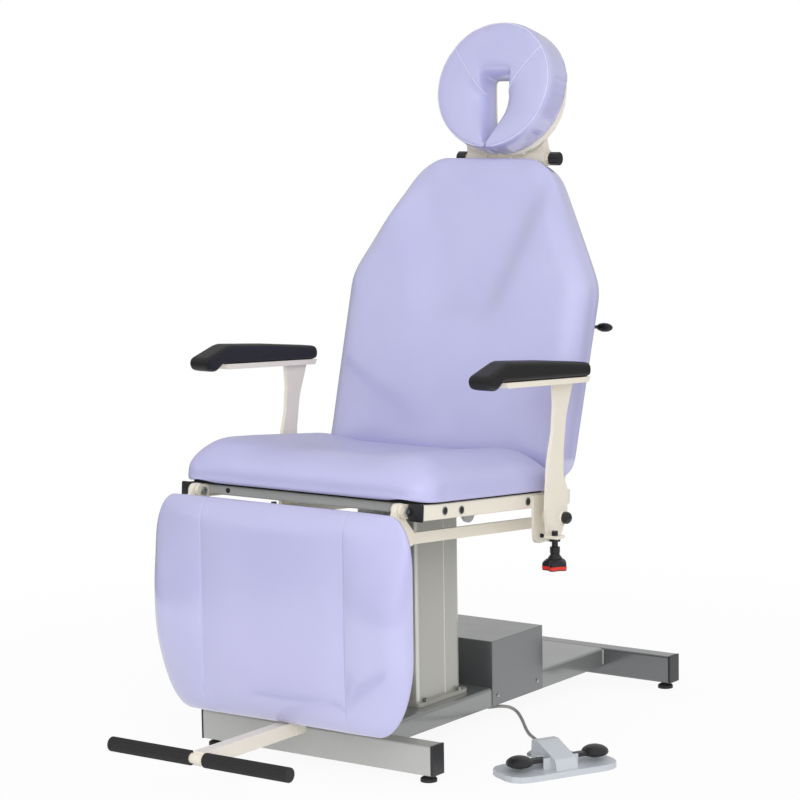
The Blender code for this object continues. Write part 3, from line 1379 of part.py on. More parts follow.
head_pin_reach = fork_inside + SPRING_FORK_WALL / 2
head_pin = rod(
    (-head_pin_reach, SPRING_HEAD_BACK, SPRING_HEAD_UP),
    (head_pin_reach, SPRING_HEAD_BACK, SPRING_HEAD_UP),
    SPRING_PIN_DIAMETER,
)
boss_front = LEVER_BACK - LEVER_ROD_DIAMETER / 2 - 0.004
lever_block = rod(
    (LEVER_PIVOT_X, mount_middle, LEVER_UP), (LEVER_PIVOT_X, boss_front - GAP, LEVER_UP), LEVER_BOSS_DIAMETER
)
lever_pin_end = LEVER_BACK + LEVER_ROD_DIAMETER / 2 + 0.006
lever_pin = rod(
    (LEVER_PIVOT_X, boss_front - 0.002, LEVER_UP),
    (LEVER_PIVOT_X, lever_pin_end, LEVER_UP),
    LEVER_PIN_DIAMETER,
)
place(fused(guide, head_pin, lever_block, lever_pin), "headrest_guide", backrest, CREAM_PAINT)


# Release lever: a bent steel bar on the pivot, with a finger over the spring's release tip and an oval knob

lever = empty("lever", backrest, (LEVER_PIVOT_X, LEVER_BACK, LEVER_UP))
boss_back = lever_pin_end - 0.002 - LEVER_BACK
lever_boss = rod((0, boss_front - LEVER_BACK, 0), (0, boss_back, 0), LEVER_BOSS_DIAMETER)
lever_bar = rod((-LEVER_FINGER, 0, 0), (LEVER_ROD_END - LEVER_PIVOT_X, 0, 0), LEVER_ROD_DIAMETER, 12)
lever_bore = rod(
    (0, boss_front - LEVER_BACK - 0.01, 0), (0, boss_back + 0.01, 0), LEVER_PIN_DIAMETER + 2 * RUN_GAP
)
place(cut(fused(lever_boss, lever_bar), lever_bore), "recline_lever", lever, BRIGHT_STEEL)

knob_inner_end = LEVER_KNOB_START - LEVER_PIVOT_X
half_knob = LEVER_KNOB_LENGTH / 2
knob_profile = [
    (LEVER_KNOB_DIAMETER / 2 * math.sin(math.radians(a)), half_knob - half_knob * math.cos(math.radians(a)))
    for a in (180, 155, 130, 105, 80, 55, 35)
]
lever_knob = turned((*knob_profile, (0, knob_profile[-1][1])), (knob_inner_end, 0, 0), (1, 0, 0), 16)
knob_bore = rod(
    (knob_inner_end - 0.01, 0, 0),
    (LEVER_ROD_END - LEVER_PIVOT_X + GAP, 0, 0),
    LEVER_ROD_DIAMETER + 2 * GAP,
    12,
)
place(cut(lever_knob, knob_bore), "recline_lever_knob", lever, BLACK_PLASTIC)


# Gas spring: the cylinder hangs from the fork behind the backrest, the rod stands on the seat bracket's pin

spring_head_seat = backrest.matrix_local @ Vector((0, SPRING_HEAD_BACK, SPRING_HEAD_UP))
spring_head_y, spring_head_z = seat_point(spring_head_seat.y, spring_head_seat.z)
spring_run = Vector((0, spring_head_y - spring_foot_y, spring_head_z - spring_foot_z))
spring_lean = math.atan2(spring_run.y, spring_run.z)

cylinder_frame = empty(
    "gas_cylinder", backrest, (0, SPRING_HEAD_BACK, SPRING_HEAD_UP), tip=BACK_RECLINE - spring_lean
)
half_eye = SPRING_EYE_WIDTH / 2
eye_back = -SPRING_EYE_DIAMETER / 2 - 0.004
head_eye = rod((-half_eye, 0, 0), (half_eye, 0, 0), SPRING_EYE_DIAMETER, 20)
release_tip = rod((0, 0, 0), (0, 0, RELEASE_TIP), 0.008, 12)
tube_profile = (
    (0, 0),
    (half_eye * 0.8, 0),
    (half_eye * 0.8, eye_back),
    (CYLINDER_DIAMETER / 2, eye_back - 0.006),
    (CYLINDER_DIAMETER / 2, -CYLINDER_LENGTH + 0.002),
    (CYLINDER_DIAMETER / 2 - 0.001, -CYLINDER_LENGTH),
    (CYLINDER_BORE / 2, -CYLINDER_LENGTH),
    (CYLINDER_BORE / 2, -CYLINDER_BORE_FROM),
    (0, -CYLINDER_BORE_FROM),
)
pin_bore = rod((-0.05, 0, 0), (0.05, 0, 0), SPRING_PIN_DIAMETER + 2 * RUN_GAP)
cylinder = cut(fused(turned(tube_profile), head_eye, release_tip), pin_bore)
place(cylinder, "gas_spring_cylinder", cylinder_frame, BLACK_PLASTIC)

rod_foot = (0, spring_foot_y - COLUMN_MIDDLE, spring_foot_z - COLUMN_TOP)
rod_frame = empty("gas_rod", lift, rod_foot, tip=-spring_lean)
foot_eye = rod((-half_eye, 0, 0), (half_eye, 0, 0), SPRING_EYE_DIAMETER, 20)
spring_rod = rod((0, 0, 0), (0, 0, ROD_LENGTH), ROD_DIAMETER)
foot_bore = rod((-0.05, 0, 0), (0.05, 0, 0), SPRING_PIN_DIAMETER + 2 * RUN_GAP)
place(cut(fused(foot_eye, spring_rod), foot_bore), "gas_spring_rod", rod_frame, BRIGHT_STEEL)


# Link bars from the backrest's levers to the legrest's, parallel to the seat

link_length = BACK_HINGE_SETBACK + LEGREST_HINGE_LEAD
half_link = LINK_HEIGHT / 2
link_hole = LINK_PIN_DIAMETER / 2 + RUN_GAP
link_outline = rectangle(-link_length - half_link, -half_link, half_link, half_link, half_link)
for hand, side in SIDES:
    link_x = side * (ARM_PLATE_INSIDE - SIDE_GAP - LINK_THICKNESS / 2)
    axis = empty(
        "link_axis_" + hand, backrest, (link_x, back_eye.x, back_eye.y), tip=BACK_RECLINE - SEAT_TILT
    )
    link = extruded(
        link_outline,
        LINK_THICKNESS,
        SIDE,
        holes=[circle((0, 0), link_hole), circle((-link_length, 0), link_hole)],
    )
    place(link, "link_bar_" + hand, axis, CREAM_PAINT)


# Headrest: a flat post in the guide with a cross tube, a plate on two arms, a ring cushion and two knobs

post = empty("headrest_post_slide", backrest, (0, guide_middle, POST_BOTTOM))
post_top = HEAD_PIVOT_UP - POST_BOTTOM
pivot_back = HEAD_PIVOT_BACK - guide_middle
post_bar = box((-POST_WIDTH / 2, -POST_DEPTH / 2, 0), (POST_WIDTH / 2, POST_DEPTH / 2, post_top), 0.001)
half_tube = HEAD_TUBE_LENGTH / 2
cross_tube = rod(
    (-half_tube, pivot_back, post_top), (half_tube, pivot_back, post_top), HEAD_TUBE_DIAMETER, 20
)
stud_end = half_tube + HEAD_STUD_LENGTH
stud = rod((-stud_end, pivot_back, post_top), (stud_end, pivot_back, post_top), HEAD_STUD_DIAMETER)
place(fused(post_bar, cross_tube, stud), "headrest_post", post, CREAM_PAINT)

headrest = empty("headrest", post, (0, pivot_back, post_top))
PLATE_REAR = -HEAD_PLATE_OFFSET
PLATE_FRONT = PLATE_REAR - HEAD_PLATE_THICKNESS


def slot_half_width(y):
    share = (y - HEAD_SLOT_BOTTOM) / (HEAD_SLOT_TOP - HEAD_SLOT_BOTTOM)
    return HEAD_SLOT_BOTTOM_HALF_WIDTH + (HEAD_SLOT_TOP_HALF_WIDTH - HEAD_SLOT_BOTTOM_HALF_WIDTH) * share


SLOT_MIDDLE = (HEAD_SLOT_TOP + HEAD_SLOT_BOTTOM) / 2


def slot_corners(margin, low):
    """The face slot's outline, a trapezium that narrows downwards, wider by a margin and down to a level."""
    high = HEAD_SLOT_TOP + margin
    low_x = slot_half_width(max(low, HEAD_SLOT_BOTTOM)) + margin
    high_x = slot_half_width(HEAD_SLOT_TOP) + margin
    lower = ((-low_x, low, low_x / 2), (low_x, low, low_x / 2))
    upper = ((high_x, high, 0.008), (-high_x, high, 0.008))
    return rounded((*lower, *upper))


plate_middle = (0, (PLATE_REAR + PLATE_FRONT) / 2, HEAD_RING_RISE)
plate_outline = []
for i in range(32):
    a = 2 * math.pi * i / 32
    grown = 2 * HEAD_PLATE_LOBE * max(0, -math.sin(a)) * abs(math.cos(a)) - HEAD_PLATE_INSET
    plate_outline.append(
        ((HEAD_RING_HALF_WIDTH + grown) * math.cos(a), (HEAD_RING_HALF_HEIGHT + grown) * math.sin(a))
    )
head_plate = extruded(plate_outline, HEAD_PLATE_THICKNESS, FRONT, plate_middle)
slot_outline = slot_corners(HEAD_PLATE_SLOT_MARGIN, -HEAD_RING_HALF_HEIGHT)
plate_slot = extruded(slot_outline, 3 * HEAD_PLATE_THICKNESS, FRONT, plate_middle)
head_plate = cut(head_plate, plate_slot)
head_eye_radius = HEAD_TUBE_DIAMETER / 2 + 0.006
plate_root = PLATE_REAR - HEAD_PLATE_THICKNESS / 2
head_arm_outline = rounded(
    (
        (-head_eye_radius, -head_eye_radius, head_eye_radius),
        (head_eye_radius, -head_eye_radius, head_eye_radius),
        (head_eye_radius, head_eye_radius, head_eye_radius),
        (0, 1.3 * head_eye_radius, 0.008),
        (PLATE_REAR + HEAD_PLATE_THICKNESS / 2, HEAD_RING_RISE * 0.45, 0.030),
        (PLATE_REAR + HEAD_PLATE_THICKNESS / 2, HEAD_RING_RISE * 0.75, 0),
        (plate_root, HEAD_RING_RISE * 0.75, 0),
        (plate_root, HEAD_RING_RISE * 0.36, 0.030),
        (-head_eye_radius, 0.5 * head_eye_radius, 0.006),
    ),
    4,
)
for hand, side in SIDES:
    arm_x = side * (HEAD_ARM_INSIDE + HEAD_ARM_WIDTH / 2)
    head_arm = extruded(
        head_arm_outline,
        HEAD_ARM_WIDTH,
        SIDE,
        (arm_x, 0, 0),
        holes=[circle((0, 0), HEAD_TUBE_DIAMETER / 2 + RUN_GAP, 20)],
    )
    head_plate = fused(head_plate, head_arm)
place(head_plate, "headrest_plate", headrest, CREAM_PAINT)


def ring_cushion():
    """A ring of padding about the face slot, round outside. It rolls down into the slot from its crown."""
    around, rows = 48, (0, 0.02, 0.08, 0.18, 0.32, 0.5, 0.7, 0.86, 0.96, 1)
    slot = slot_corners(0, HEAD_SLOT_BOTTOM)
    slot_edges = list(zip(slot, slot[1:] + slot[:1]))
    shape = bmesh.new()
    bmesh.ops.create_grid(shape, x_segments=around, y_segments=len(rows) - 1, size=1)
    for point in shape.verts:
        turn = -math.pi / 2 + math.pi * (point.co.x + 1)
        share = rows[round((point.co.y + 1) / 2 * (len(rows) - 1))]
        ray = Vector((math.cos(turn), math.sin(turn)))
        outer = Vector((HEAD_RING_HALF_WIDTH * ray.x, HEAD_RING_HALF_HEIGHT * ray.y))
        start = Vector((0, SLOT_MIDDLE))
        inner = start
        for a, b in slot_edges:
            a, b = Vector(a), Vector(b)
            side_of = (outer - start).cross(b - a)
            if abs(side_of) < 1e-12:
                continue
            t = (a - start).cross(b - a) / side_of
            u = (a - start).cross(outer - start) / side_of
            if t > 0 and -1e-9 <= u <= 1 + 1e-9:
                inner = start + (outer - start) * t
        spot = inner + (outer - inner) * share
        edge = HEAD_RING_SLOT_EDGE if share < 0.5 else HEAD_RING_EDGE
        rise = (HEAD_RING_THICKNESS - edge) * edge_fall(min(share, 1 - share), 0.5)
        point.co = (spot.x, spot.y, edge + rise)
    bmesh.ops.remove_doubles(shape, verts=shape.verts, dist=1e-6)
    rim = [e for e in shape.edges if e.is_boundary]
    made = bmesh.ops.extrude_edge_only(shape, edges=rim)["geom"]
    for point in (g for g in made if isinstance(g, bmesh.types.BMVert)):
        point.co.z = 0
    back = [e for e in shape.edges if e.is_boundary]
    bmesh.ops.bridge_loops(shape, edges=back)
    return from_bmesh(shape)


ring = ring_cushion()
ring.data.transform(Matrix.Translation((0, PLATE_FRONT - GAP, HEAD_RING_RISE)) @ FRONT)
place(ring, "headrest_cushion", headrest, LEATHERETTE)

for hand, side in SIDES:
    knob_axis = empty("headrest_knob_axis_" + hand, post, (side * half_tube, pivot_back, post_top))
    fluted = []
    for i in range(24):
        r = HEAD_KNOB_DIAMETER / 2 * (1 - 0.07 * (i % 2))
        fluted.append((r * math.cos(math.pi * i / 12), r * math.sin(math.pi * i / 12)))
    near, far = GAP, GAP + HEAD_KNOB_LENGTH
    head_knob = extruded(fluted, HEAD_KNOB_LENGTH, SIDE, (side * (near + far) / 2, 0, 0))
    bore_end = side * (HEAD_STUD_LENGTH + GAP)
    stud_bore = rod((-side * 0.01, 0, 0), (bore_end, 0, 0), HEAD_STUD_DIAMETER + 2 * RUN_GAP)
    place(cut(head_knob, stud_bore), "headrest_knob_" + hand, knob_axis, BLACK_PLASTIC)


# Armrests: a bracket with a stud on each rail, and a frame, a moulded pad and a lock knob that swing on it

ARM_POST_OUTSIDE = ARM_POST_INSIDE + ARM_POST_THICKNESS
bracket_face = RAIL_OUTSIDE + GAP


def from_pivot(points, depth, height):
    """An outline from points (y, z, radius), given as shares of a depth, a height and the depth."""
    return rounded([(y * depth, z * height, radius * depth) for y, z, radius in points])


def on_tray(points):
    """An outline from points (y, z, radius), measured forwards and up from the rear end of the tray's top."""
    forward = Vector((-math.cos(ARM_PAD_TILT), math.sin(ARM_PAD_TILT)))
    up = Vector((math.sin(ARM_PAD_TILT), math.cos(ARM_PAD_TILT)))
    rear = Vector((ARM_PAD_OVERHANG, ARM_HEIGHT))
    spots = [(rear + forward * y + up * z, radius) for y, z, radius in points]
    return rounded([(spot.x, spot.y, radius) for spot, radius in spots])


post_outline = from_pivot(
    (
        (-0.67, -0.155, 0.13),
        (-0.16, -0.155, 0.21),
        (0.24, 0.014, 0.26),
        (0.24, 0.213, 0.26),
        (0.05, 0.304, 0.26),
        (0.08, 0.502, 1.30),
        (0.22, 0.737, 1.30),
        (0.60, 0.990, 0.05),
        (-0.37, 0.990, 0.05),
        (-0.32, 0.828, 1.05),
        (-0.40, 0.629, 0.80),
        (-0.64, 0.412, 1.30),
        (-0.76, 0.087, 0.80),
    ),
    ARM_POST_DEPTH,
    ARM_HEIGHT,
)
bracket_outline = from_pivot(
    (
        (-0.57, -0.68, 0.24),
        (0.16, -0.68, 0.24),
        (0.32, -0.08, 0.16),
        (0.47, 0.32, 0.13),
        (0.47, 0.54, 0.04),
        (-0.57, 0.62, 0.04),
    ),
    ARM_POST_DEPTH,
    ARM_POST_DEPTH,
)
tray_front = 0.82 * ARM_PAD_LENGTH
tray_outline = on_tray(
    (
        (ARM_TRAY_INSET, 0, 0.001),
        (ARM_TRAY_INSET + ARM_TRAY_BEVEL, -ARM_TRAY_THICKNESS, 0.004),
        (tray_front - ARM_TRAY_BEVEL, -ARM_TRAY_THICKNESS, 0.002),
        (tray_front, 0, 0.001),
    )
)
pad_shares = (
    (0.0, 0.0, 0.22),
    (0.005, 0.71, 0.30),
    (0.425, 0.91, 5.0),
    (0.785, 1.0, 1.5),
    (1.0, 0.27, 0.35),
    (0.98, -0.29, 0.30),
    (0.90, -0.40, 0.45),
    (0.84, 0.0, 0.30),
)
pad_outline = on_tray(
    [(y * ARM_PAD_LENGTH, GAP + z * ARM_PAD_THICKNESS, r * ARM_PAD_THICKNESS) for y, z, r in pad_shares]
)
tab_middle = -LOCK_KNOB_LEAD
tab_low = -LOCK_TAB_DROP

for hand, side in SIDES:
    pivot_seat = (0, ARM_PIVOT_SETBACK, -ARM_PIVOT_DROP)
    fixed = empty("armrest_bracket_frame_" + hand, seat, pivot_seat, tip=SEAT_TILT)
    boss_root = (side * (bracket_face + ARM_BRACKET_THICKNESS / 2), 0, 0)
    boss_end = (side * (ARM_POST_INSIDE - GAP), 0, 0)
    pin_end = (side * (ARM_POST_OUTSIDE + ARM_PIN_STANDOUT), 0, 0)
    plate = extruded(bracket_outline, ARM_BRACKET_THICKNESS, SIDE, boss_root)
    boss = rod(boss_root, boss_end, ARM_BOSS_DIAMETER, 20)
    pin = rod(boss_root, pin_end, ARM_PIN_DIAMETER)
    place(fused(plate, boss, pin), "armrest_bracket_" + hand, fixed, CREAM_PAINT)

    armrest = empty("armrest_" + hand, seat, pivot_seat, tip=SEAT_TILT)
    frame = extruded(
        post_outline,
        ARM_POST_THICKNESS,
        SIDE,
        (side * (ARM_POST_INSIDE + ARM_POST_THICKNESS / 2), 0, 0),
        holes=[circle((0, 0), ARM_PIN_DIAMETER / 2 + RUN_GAP)],
    )
    tray_x = side * (ARM_POST_INSIDE + ARM_POST_THICKNESS / 2 + ARM_PAD_OFFSET)
    tray = extruded(tray_outline, ARM_TRAY_WIDTH, SIDE, (tray_x, 0, 0))
    knob_x = side * (ARM_POST_INSIDE + LOCK_KNOB_OFFSET)
    tab_near = side * (ARM_POST_INSIDE + ARM_POST_THICKNESS / 2)
    tab_far = knob_x + side * LOCK_TAB_OUTSIDE
    tab = box(
        (min(tab_near, tab_far), tab_middle - LOCK_TAB_FRONT, tab_low),
        (max(tab_near, tab_far), tab_middle + LOCK_TAB_REAR, tab_low + LOCK_TAB_THICKNESS),
        0.001,
    )
    stem_hole = rod(
        (knob_x, tab_middle, tab_low - LOCK_TAB_THICKNESS),
        (knob_x, tab_middle, tab_low + 2 * LOCK_TAB_THICKNESS),
        LOCK_STEM_DIAMETER + 2 * RUN_GAP,
    )
    place(cut(fused(frame, tray, tab), stem_hole), "armrest_frame_" + hand, armrest, CREAM_PAINT)

    pad = extruded(pad_outline, ARM_PAD_WIDTH, SIDE, (tray_x, 0, 0), rounding=ARM_PAD_ROUND)
    place(pad, "armrest_pad_" + hand, armrest, BLACK_PAD)

    knob_frame = empty("armrest_knob_axis_" + hand, armrest, (knob_x, tab_middle, 0))
    lobes = []
    for i in range(LOCK_KNOB_LOBES * 8):
        a = 2 * math.pi * i / (LOCK_KNOB_LOBES * 8)
        r = LOCK_KNOB_DIAMETER / 2 * (0.86 + 0.14 * math.cos(LOCK_KNOB_LOBES * a))
        lobes.append((r * math.cos(a), r * math.sin(a)))
    washer_low = tab_low - GAP - LOCK_WASHER_THICKNESS
    nut_high = washer_low - LOCK_STEM_SHOWN
    neck_high = nut_high - LOCK_NUT_HEIGHT
    knob_high = neck_high - LOCK_NECK_HEIGHT
    lobed = extruded(lobes, LOCK_KNOB_HEIGHT, FLAT, (0, 0, knob_high - LOCK_KNOB_HEIGHT / 2))
    shoulder = LOCK_KNOB_DIAMETER / 2 + 0.001
    shoulder_profile = (
        (0, knob_high + 0.001),
        (0.58 * shoulder, knob_high + 0.001),
        (0.80 * shoulder, knob_high - 0.15 * LOCK_KNOB_HEIGHT),
        (0.94 * shoulder, knob_high - 0.32 * LOCK_KNOB_HEIGHT),
        (shoulder, knob_high - 0.55 * LOCK_KNOB_HEIGHT),
        (shoulder, knob_high - LOCK_KNOB_HEIGHT - 0.001),
        (0, knob_high - LOCK_KNOB_HEIGHT - 0.001),
    )
    lobed = combined(lobed, [turned(shoulder_profile)], "INTERSECT")
    stem_top = tab_low + LOCK_TAB_THICKNESS + LOCK_STEM_STANDOUT
    stem_profile = (
        (0, stem_top),
        (LOCK_STEM_DIAMETER / 2, stem_top),
        (LOCK_STEM_DIAMETER / 2, tab_low - GAP),
        (LOCK_WASHER_DIAMETER / 2, tab_low - GAP),
        (LOCK_WASHER_DIAMETER / 2, washer_low),
        (LOCK_STEM_DIAMETER / 2, washer_low),
        (LOCK_STEM_DIAMETER / 2, nut_high),
        (LOCK_NUT_DIAMETER / 2, nut_high),
        (LOCK_NUT_DIAMETER / 2, neck_high),
        (0.62 * LOCK_NECK_DIAMETER / 2, neck_high - 0.001),
        (0.72 * LOCK_NECK_DIAMETER / 2, neck_high - 0.4 * LOCK_NECK_HEIGHT),
        (LOCK_NECK_DIAMETER / 2, neck_high - 0.8 * LOCK_NECK_HEIGHT),
        (LOCK_NECK_DIAMETER / 2, knob_high - 0.004),
        (0, knob_high - 0.004),
    )
    place(fused(turned(stem_profile), lobed), "armrest_knob_" + hand, knob_frame, BLACK_PLASTIC)


# The middle of the footprint, without the loose cord, goes to the world origin

bpy.context.view_layer.update()
graph = bpy.context.evaluated_depsgraph_get()
corners = []
for piece in parts.objects:
    if piece.type == "MESH":
        shown = piece.evaluated_get(graph)
        corners += [shown.matrix_world @ Vector(corner) for corner in shown.bound_box]
middle_x = (min(c.x for c in corners) + max(c.x for c in corners)) / 2
middle_y = (min(c.y for c in corners) + max(c.y for c in corners)) / 2
chair.location = (-middle_x, -middle_y, 0)
bpy.context.view_layer.update()
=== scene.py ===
import json
import math

import bmesh
import bpy
from mathutils import Matrix, Vector
from mathutils.bvhtree import BVHTree


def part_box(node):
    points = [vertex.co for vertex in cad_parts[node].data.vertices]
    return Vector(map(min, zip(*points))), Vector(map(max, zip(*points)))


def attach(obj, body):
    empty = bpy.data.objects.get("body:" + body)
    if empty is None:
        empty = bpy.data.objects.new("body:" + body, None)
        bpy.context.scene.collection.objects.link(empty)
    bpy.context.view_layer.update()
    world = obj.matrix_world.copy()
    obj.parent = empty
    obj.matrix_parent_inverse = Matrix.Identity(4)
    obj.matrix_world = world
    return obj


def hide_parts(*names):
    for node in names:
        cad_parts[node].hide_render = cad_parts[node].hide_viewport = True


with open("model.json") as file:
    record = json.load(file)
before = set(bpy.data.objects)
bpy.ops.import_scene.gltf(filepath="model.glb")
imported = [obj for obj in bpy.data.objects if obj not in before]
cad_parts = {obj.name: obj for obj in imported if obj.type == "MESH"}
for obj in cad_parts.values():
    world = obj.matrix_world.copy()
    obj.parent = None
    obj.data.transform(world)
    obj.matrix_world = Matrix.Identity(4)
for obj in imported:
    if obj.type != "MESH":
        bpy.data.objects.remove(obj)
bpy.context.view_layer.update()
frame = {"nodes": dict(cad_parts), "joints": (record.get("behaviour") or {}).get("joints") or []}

# Studio: a white paper floor, and a broad soft light not far from the camera. The floor shows white to the
# camera and keeps a faint shadow. In reflections the paper ends some two metres out and the room is dimmer.
# The camera stands where the photograph was taken from, on the sitter's left.

scene = bpy.context.scene
scene.view_settings.view_transform = "Standard"


def srgb(text):
    """A hex colour as linear red, green, blue and alpha."""
    parts = [int(text[i : i + 2], 16) / 255 for i in (1, 3, 5)]
    return (*(c / 12.92 if c <= 0.04045 else ((c + 0.055) / 1.055) ** 2.4 for c in parts), 1.0)


def add(tree, kind, sockets=(), **fields):
    """Adds a shader node. A socket is given a value, or a node and its output, which are linked."""
    made = tree.nodes.new("ShaderNode" + kind)
    for field, value in fields.items():
        setattr(made, field, value)
    for socket, value in dict(sockets).items():
        if isinstance(value, tuple) and isinstance(value[0], bpy.types.Node):
            tree.links.new(value[0].outputs[value[1]], made.inputs[socket])
        else:
            made.inputs[socket].default_value = value
    return made


def put(name, data):
    """Adds an object to the scene."""
    made = bpy.data.objects.new(name, data)
    scene.collection.objects.link(made)
    return made


def ramp(tree, source, output, span, ends, **fields):
    """Runs from one end to the other while a node's output runs over a span."""
    sockets = {0: (source, output), 1: span[0], 2: span[1], 3: ends[0], 4: ends[1]}
    return add(tree, "MapRange", sockets, **fields)


def rays(tree):
    """The kind of each ray, and whether the camera looks along it."""
    path = add(tree, "LightPath")
    looks = {0: (path, "Is Camera Ray"), 1: (path, "Is Transmission Ray")}
    return path, add(tree, "Math", looks, operation="MAXIMUM")


WHITE = srgb("#FFFFFF")
ROOM_LIGHT = 0.72
# In gloss the room is dim near the horizon and brighter above it
ROOM_SHINE = (0.36, 0.66)
SHINE_RISE = (0.09, 0.19)
FLOOR_GLOW = 0.92
FLOOR_FADE = (0.9, 2.2)
PAPER_END = (1.95, 2.35)
PAST_PAPER = 0.2
FLOOR_HALF = 9.0
FLOOR_DROP = 0.0004
KEY_PLACE = (2.5, -3.2, 2.1)
KEY_AIM = (0.0, 0.0, 0.7)
KEY_SIZE = 3.0
KEY_POWER = 92.0

world = bpy.data.worlds.new("studio")
scene.world = world
world.use_nodes = True
tree = world.node_tree
tree.nodes.clear()
path, seen = rays(tree)
room = add(tree, "Background", {"Color": WHITE, "Strength": ROOM_LIGHT})
white = add(tree, "Background", {"Color": WHITE, "Strength": 1.0})
way = add(tree, "SeparateXYZ", {0: (add(tree, "TexCoord"), "Generated")})
bright = ramp(tree, way, "Z", SHINE_RISE, ROOM_SHINE)
shine = add(tree, "Background", {"Color": WHITE, "Strength": (bright, 0)})
mixed = add(tree, "MixShader", {0: (path, "Is Glossy Ray"), 1: (room, 0), 2: (shine, 0)})
mixed = add(tree, "MixShader", {0: (seen, 0), 1: (mixed, 0), 2: (white, 0)})
add(tree, "OutputWorld", {"Surface": (mixed, 0)})

paper = bpy.data.materials.new("white_paper_floor")
paper.use_nodes = True
tree = paper.node_tree
tree.nodes.clear()
path, seen = rays(tree)
away = add(tree, "VectorMath", {0: (add(tree, "TexCoord"), "Object")}, operation="LENGTH")
share = ramp(tree, away, "Value", FLOOR_FADE, (FLOOR_GLOW, 1.0))
glow = add(tree, "Math", {0: (seen, 0), 1: (share, 0)}, operation="MULTIPLY")
matt = add(tree, "BsdfDiffuse", {"Color": srgb("#F4F4F4")})
lit = add(tree, "Emission", {"Color": WHITE, "Strength": 1.0})
mixed = add(tree, "MixShader", {0: (glow, 0), 1: (matt, 0), 2: (lit, 0)})
sheen = ramp(tree, away, "Value", PAPER_END, (1.0, PAST_PAPER))
mirrored = add(tree, "Emission", {"Color": WHITE, "Strength": (sheen, 0)})
mixed = add(tree, "MixShader", {0: (path, "Is Glossy Ray"), 1: (mixed, 0), 2: (mirrored, 0)})
add(tree, "OutputMaterial", {"Surface": (mixed, 0)})

floor_mesh = bpy.data.meshes.new("floor")
corners = [(x * FLOOR_HALF, y * FLOOR_HALF, -FLOOR_DROP) for x, y in ((-1, -1), (1, -1), (1, 1), (-1, 1))]
floor_mesh.from_pydata(corners, [], [(0, 1, 2, 3)])
floor_mesh.materials.append(paper)
floor = put("floor", floor_mesh)

key_light = bpy.data.lights.new("key_light", "AREA")
key_light.energy = KEY_POWER
key_light.size = KEY_SIZE
key = put("key_light", key_light)
key.location = KEY_PLACE
key.rotation_euler = (Vector(KEY_AIM) - Vector(KEY_PLACE)).to_track_quat("-Z", "Y").to_euler()
# The light is not mirrored, so that it leaves no bright spot in the gloss
key.visible_glossy = False

# The chair's own origin: the middle of the front bar's front face, on the floor
bar_low, bar_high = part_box("front_base_bar")
chair = Vector(((bar_low[0] + bar_high[0]) / 2, bar_low[1], 0))

EYE = Vector((3.131, -4.056, 1.3655))
LOOK_AT = Vector((0.8921, -0.9, 0.8830))
ROLL = -0.0155
FOCAL_PIXELS = 2670.4
MIDDLE_PIXEL = (413.34, 395.77)
FRAME_PIXELS = 800
SENSOR = 36

forward = (LOOK_AT - EYE).normalized()
level = forward.cross(Vector((0, 0, 1))).normalized()
upright = level.cross(forward)
right = level * math.cos(ROLL) + upright * math.sin(ROLL)
up = upright * math.cos(ROLL) - level * math.sin(ROLL)
lens = bpy.data.cameras.new("camera")
lens.sensor_width = SENSOR
lens.lens = FOCAL_PIXELS / FRAME_PIXELS * SENSOR
lens.shift_x = (FRAME_PIXELS / 2 - MIDDLE_PIXEL[0]) / FRAME_PIXELS
lens.shift_y = (MIDDLE_PIXEL[1] - FRAME_PIXELS / 2) / FRAME_PIXELS
lens.clip_end = 100
camera = put("camera", lens)
camera.matrix_world = Matrix.Translation(EYE + chair) @ Matrix((right, up, -forward)).transposed().to_4x4()
scene.camera = camera

# Pedal cord: a lead in a grey PVC jacket, 7 mm thick. It drops out of the gland under the cover, comes out
# below the spine and lies on the floor, up to the back of the foot control.

CORD_DIAMETER = 0.007
CORD_EXIT = Vector((0.078, 0.474, 0.0509))
CORD_ROUTE = (
    (0.0780, 0.4740, 0.0439),
    (0.0810, 0.4770, 0.0305),
    (0.0890, 0.4860, 0.0250),
    (0.1040, 0.5030, 0.0255),
    (0.1190, 0.5200, 0.0220),
    (0.1374, 0.5202, 0.0150),
    (0.1676, 0.4925, 0.0090),
    (0.1935, 0.4628, 0.0055),
    (0.2167, 0.4358, 0.0038),
    (0.2395, 0.4110, 0.0036),
    (0.2643, 0.3892, 0.0036),
    (0.2881, 0.3684, 0.0036),
    (0.3069, 0.3436, 0.0036),
    (0.3158, 0.3159, 0.0036),
    (0.3198, 0.2921, 0.0040),
    (0.3268, 0.2712, 0.0058),
    (0.3402, 0.2558, 0.0088),
    (0.3603, 0.2454, 0.0120),
)
CORD_STEPS = 4
JACKET_GRAIN = 0.0012


def material(name, colour, roughness, metallic=0.0):
    """A new material, its node tree and its Principled shader."""
    made = bpy.data.materials.new(name)
    made.use_nodes = True
    shader = made.node_tree.nodes["Principled BSDF"]
    shader.inputs["Base Color"].default_value = srgb(colour)
    shader.inputs["Roughness"].default_value = roughness
    shader.inputs["Metallic"].default_value = metallic
    return made, made.node_tree, shader


def texture(tree, kind, scale, sockets=(), **fields):
    """A texture in the piece's own space, with features about as far apart as one over its scale."""
    place = {"Vector": (add(tree, "TexCoord"), "Object"), "Scale": scale}
    return add(tree, "Tex" + kind, {**place, **dict(sockets)}, **fields)


def feed(shader, socket, source, output=0):
    """Links a node's output to a shader's socket."""
    shader.id_data.links.new(source.outputs[output], shader.inputs[socket])


def tinted(shader, share, low, high):
    """Mixes a shader's colour from two by a share. Either is a colour, or a node and its output."""
    mix = add(shader.id_data, "Mix", {0: (share, 0), 6: low, 7: high}, data_type="RGBA")
    feed(shader, "Base Color", mix, 2)


